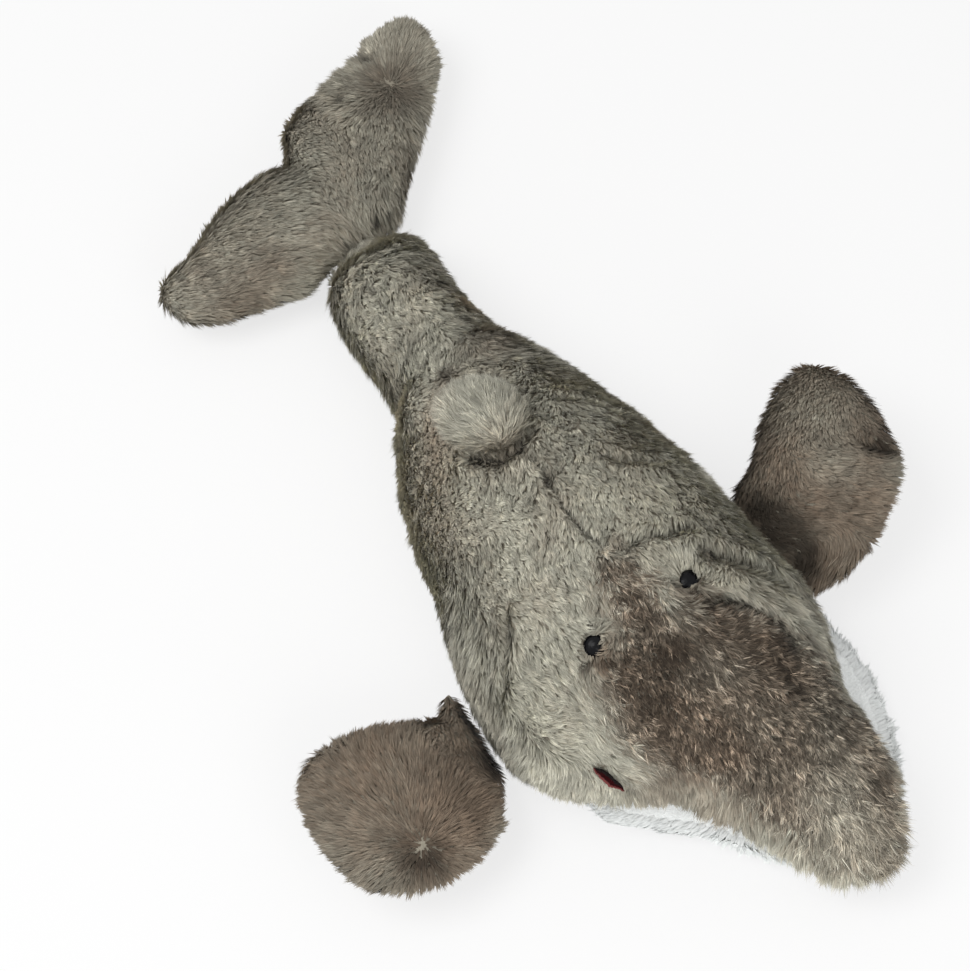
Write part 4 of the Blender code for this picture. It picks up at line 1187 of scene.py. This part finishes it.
class WHALE_OT_jaw(bpy.types.Operator):
    """Makes the lower jaw with its white chin"""

    bl_idname = "whale.jaw"
    bl_label = "Lower jaw"

    def execute(self, context):
        points, faces = stuffed(["chin_panel", "jaw_filling", "jaw_lining"], 0.003, pressure=0)
        out = point_normals(points, faces) * (1, 1, 0)
        skin = points + np.where(out[:, :1] > 0, 0.0065, 0.0028) * out, faces
        pile = Pile(material="white_pile", length=0.0068, density=3.4, rise=math.radians(12),
                    base=0.8, warm=0.0, seed=50, width=2.0, wild=0.4, sky=1.3,
                    middle=np.mean(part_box("chin_panel"), 0))
        dress("jaw_skin", skin, owners(skin, ["chin_panel", "jaw_lining"]),
              {"chin_panel": "pile_white"}, [pile], rides("lower_jaw"), "white_backing")
        return {"FINISHED"}


class WHALE_OT_mouth(bpy.types.Operator):
    """Makes the red linings of the mouth"""

    bl_idname = "whale.mouth"
    bl_label = "Mouth"

    def execute(self, context):
        for node, body in (("mouth_lining", "torso"), ("jaw_lining", "lower_jaw")):
            skin = stuffed([node], 0.0012, pressure=0, smooth=2, finer=0)
            made = triangle_mesh(node + "_felt", *skin, "lining_felt")
            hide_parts(node)
            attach(made, body)
        for made in mouth_corner():
            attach(made, "torso")
        return {"FINISHED"}


def mouth_corner():
    """The lips at the mouth's corner: a lens of felt between two arcs, hollow along its middle,
    with its upper half in near-black felt that is painted shade, and a thin paler cord along its
    lower edge."""
    points, faces = arrays(bpy.data.objects["body_skin"].data)
    normals = point_normals(points, faces)
    steps = 24  # along the lips
    at = np.linspace(0, 1, steps + 1) * (len(MOUTH) - 1)
    curve = np.polyfit(np.arange(len(MOUTH)), metres(MOUTH), 2)
    line = np.stack([np.polyval(curve[:, k], at) for k in range(3)], 1)
    up = unit(normals[nearest(line, points)].mean(0))
    line += up * ((points[nearest(line, points)] - line) @ up)[:, None]
    across = np.cross(unit(line[-1] - line[0]), up)
    run = np.linspace(0, 1, steps + 1)[:, None]
    over = np.linspace(-1, 1, 9)[None]
    bulge = np.sin(math.pi * run) ** 0.7
    out = 0.0022 * bulge * over
    lift = 0.0046 - 0.0042 * bulge * (1 - over ** 2)
    lens = line[:, None] + out[..., None] * across + lift[..., None] * up
    made = []
    for name, half, look in (("mouth_corner", lens[:, 5:], "lining_felt"),
                             ("mouth_gap", lens[:, :6], "gap_felt")):
        n = half.shape[1]
        first = (np.arange(steps)[:, None] * n + np.arange(n - 1)).ravel()
        corners = np.stack([first, first + 1, first + n + 1, first + n], 1)
        starts = np.arange(len(corners)) * 4
        made.append(new_mesh(name, half.reshape(-1, 3), corners.ravel(), starts, look))
    turn = np.linspace(0, 2 * math.pi, 9)[:-1]
    thick = 0.0008 * (0.35 + 0.65 * np.sin(math.pi * run))[..., None]
    tube = lens[:, -1:] + thick * (np.cos(turn)[:, None] * across + np.sin(turn)[:, None] * up)
    k, first = np.arange(8), np.arange(steps)[:, None] * 8
    after = (k + 1) % 8
    corners = np.stack([first + k, first + 8 + k, first + 8 + after, first + after], 2)
    sides = steps * 8  # faces of the cord, to which its two ends are added
    corners = np.concatenate([corners.ravel(), k, sides + k[::-1]])
    starts = np.concatenate([np.arange(sides) * 4, sides * 4 + np.array([0, 8])])
    made.append(new_mesh("mouth_lip", tube.reshape(-1, 3), corners, starts, "lip_felt"))
    return made


class WHALE_OT_eyes(bpy.types.Operator):
    """Gives the eyes and their washers their finish"""

    bl_idname = "whale.eyes"
    bl_label = "Eyes"

    def execute(self, context):
        for part, look in (("eye", "eye_gloss"), ("eye_washer", "washer_nylon")):
            for side in ("left", "right"):
                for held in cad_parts[f"{part}_{side}"].material_slots:
                    held.material = looks()[look]
        return {"FINISHED"}


class WHALE_OT_stuffing(bpy.types.Operator):
    """Makes the fibre fillings and the pellet pouch inside"""

    bl_idname = "whale.stuffing"
    bl_label = "Stuffing"

    def execute(self, context):
        for node, body in FILLINGS.items():
            voxel = 0.005 if body == "torso" else 0.004
            points, faces = folded(*stuffed([node], voxel, pressure=0, smooth=2, finer=0))
            if body == "dorsal_fin":
                points = laid_over(points)
            sunk = 0.0010 + 0.0006 * ripple(points, 0.014, 9)
            points = points - point_normals(points, faces) * sunk[:, None]
            points[:, 2] = np.maximum(points[:, 2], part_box(node)[0][2])
            made = triangle_mesh(node + "_wadding", points, faces, "wadding")
            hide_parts(node)
            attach(made, body)
        pouch = triangle_mesh("pouch_cloth", *stuffed(["pellet_pouch"], 0.0035, cap=0.0005),
                              "sheeting")
        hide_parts("pellet_pouch")
        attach(pouch, "torso")
        return {"FINISHED"}


def turned(aim, tilt=0.0):
    """The Euler angles of an object that looks along aim, tilted about its own axis."""
    tilt = Quaternion((0, 0, 1), tilt)
    return (aim.to_track_quat("-Z", "Y") @ tilt).to_euler()


class WHALE_OT_stage(bpy.types.Operator):
    """Makes the floor, the lamps, the world and the camera"""

    bl_idname = "whale.stage"
    bl_label = "Stage"

    def execute(self, context):
        scene, s = context.scene, context.scene.whale_stage
        corners = FLOOR_REACH * np.array([(-1, -1, 0), (1, -1, 0), (1, 1, 0), (-1, 1, 0)])
        new_mesh("floor", corners, np.arange(4), np.zeros(1), "pale_floor")
        scene.world = world = bpy.data.worlds.new("studio")
        world.use_nodes = True
        sky, light = Nodes(world.node_tree), world.node_tree.nodes["Background"]
        sky.put(light.inputs["Color"], (1, 1, 1))
        sky.put(light.inputs["Strength"], SKY_LIGHT + (1 - SKY_LIGHT) * sky.shown())
        for name, place, power, size in LAMPS:
            data = bpy.data.lights.new(name, "AREA")
            data.energy, data.size = power, size
            lamp = linked(bpy.data.objects.new(name, data))
            lamp.location = place
            lamp.rotation_euler = turned(-lamp.location)
        data = bpy.data.cameras.new("camera")
        data.lens, data.sensor_width = s.lens, 36
        data.clip_start, data.clip_end = 0.05, 20
        scene.camera = camera = linked(bpy.data.objects.new("camera", data))
        camera.location = s.eye
        camera.rotation_euler = turned(Vector(s.aim) - Vector(s.eye), s.tilt)
        scene.view_settings.view_transform = "Standard"
        return {"FINISHED"}


class WHALE_PT_panel(bpy.types.Panel):
    """Lists the steps of the whale and their sizes and colours"""

    bl_label = "Plush Whale"
    bl_idname = "WHALE_PT_panel"
    bl_space_type = "VIEW_3D"
    bl_region_type = "UI"
    bl_category = "Plush Whale"

    def draw(self, context):
        for step in STEPS:
            self.layout.operator(step.bl_idname)
        for group in ("whale_pile", "whale_colours", "whale_stage"):
            held = getattr(context.scene, group)
            box = self.layout.box()
            for key in held.__annotations__:
                box.prop(held, key)


GROUPS = {"whale_pile": WHALE_PG_pile, "whale_colours": WHALE_PG_colours,
          "whale_stage": WHALE_PG_stage}
STEPS = (WHALE_OT_body, WHALE_OT_flukes, WHALE_OT_flippers, WHALE_OT_fin, WHALE_OT_jaw,
         WHALE_OT_mouth, WHALE_OT_eyes, WHALE_OT_stuffing, WHALE_OT_stage)


def register():
    for made in (*GROUPS.values(), *STEPS, WHALE_PT_panel):
        bpy.utils.register_class(made)
    for key, group in GROUPS.items():
        setattr(bpy.types.Scene, key, PointerProperty(type=group))


def unregister():
    for key in GROUPS:
        delattr(bpy.types.Scene, key)
    for made in reversed((*GROUPS.values(), *STEPS, WHALE_PT_panel)):
        bpy.utils.unregister_class(made)


def main():
    """Registers the add-on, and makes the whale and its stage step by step."""
    register()
    for step in STEPS:
        group, name = step.bl_idname.split(".")
        getattr(getattr(bpy.ops, group), name)()


if __name__ == "__main__":
    main()
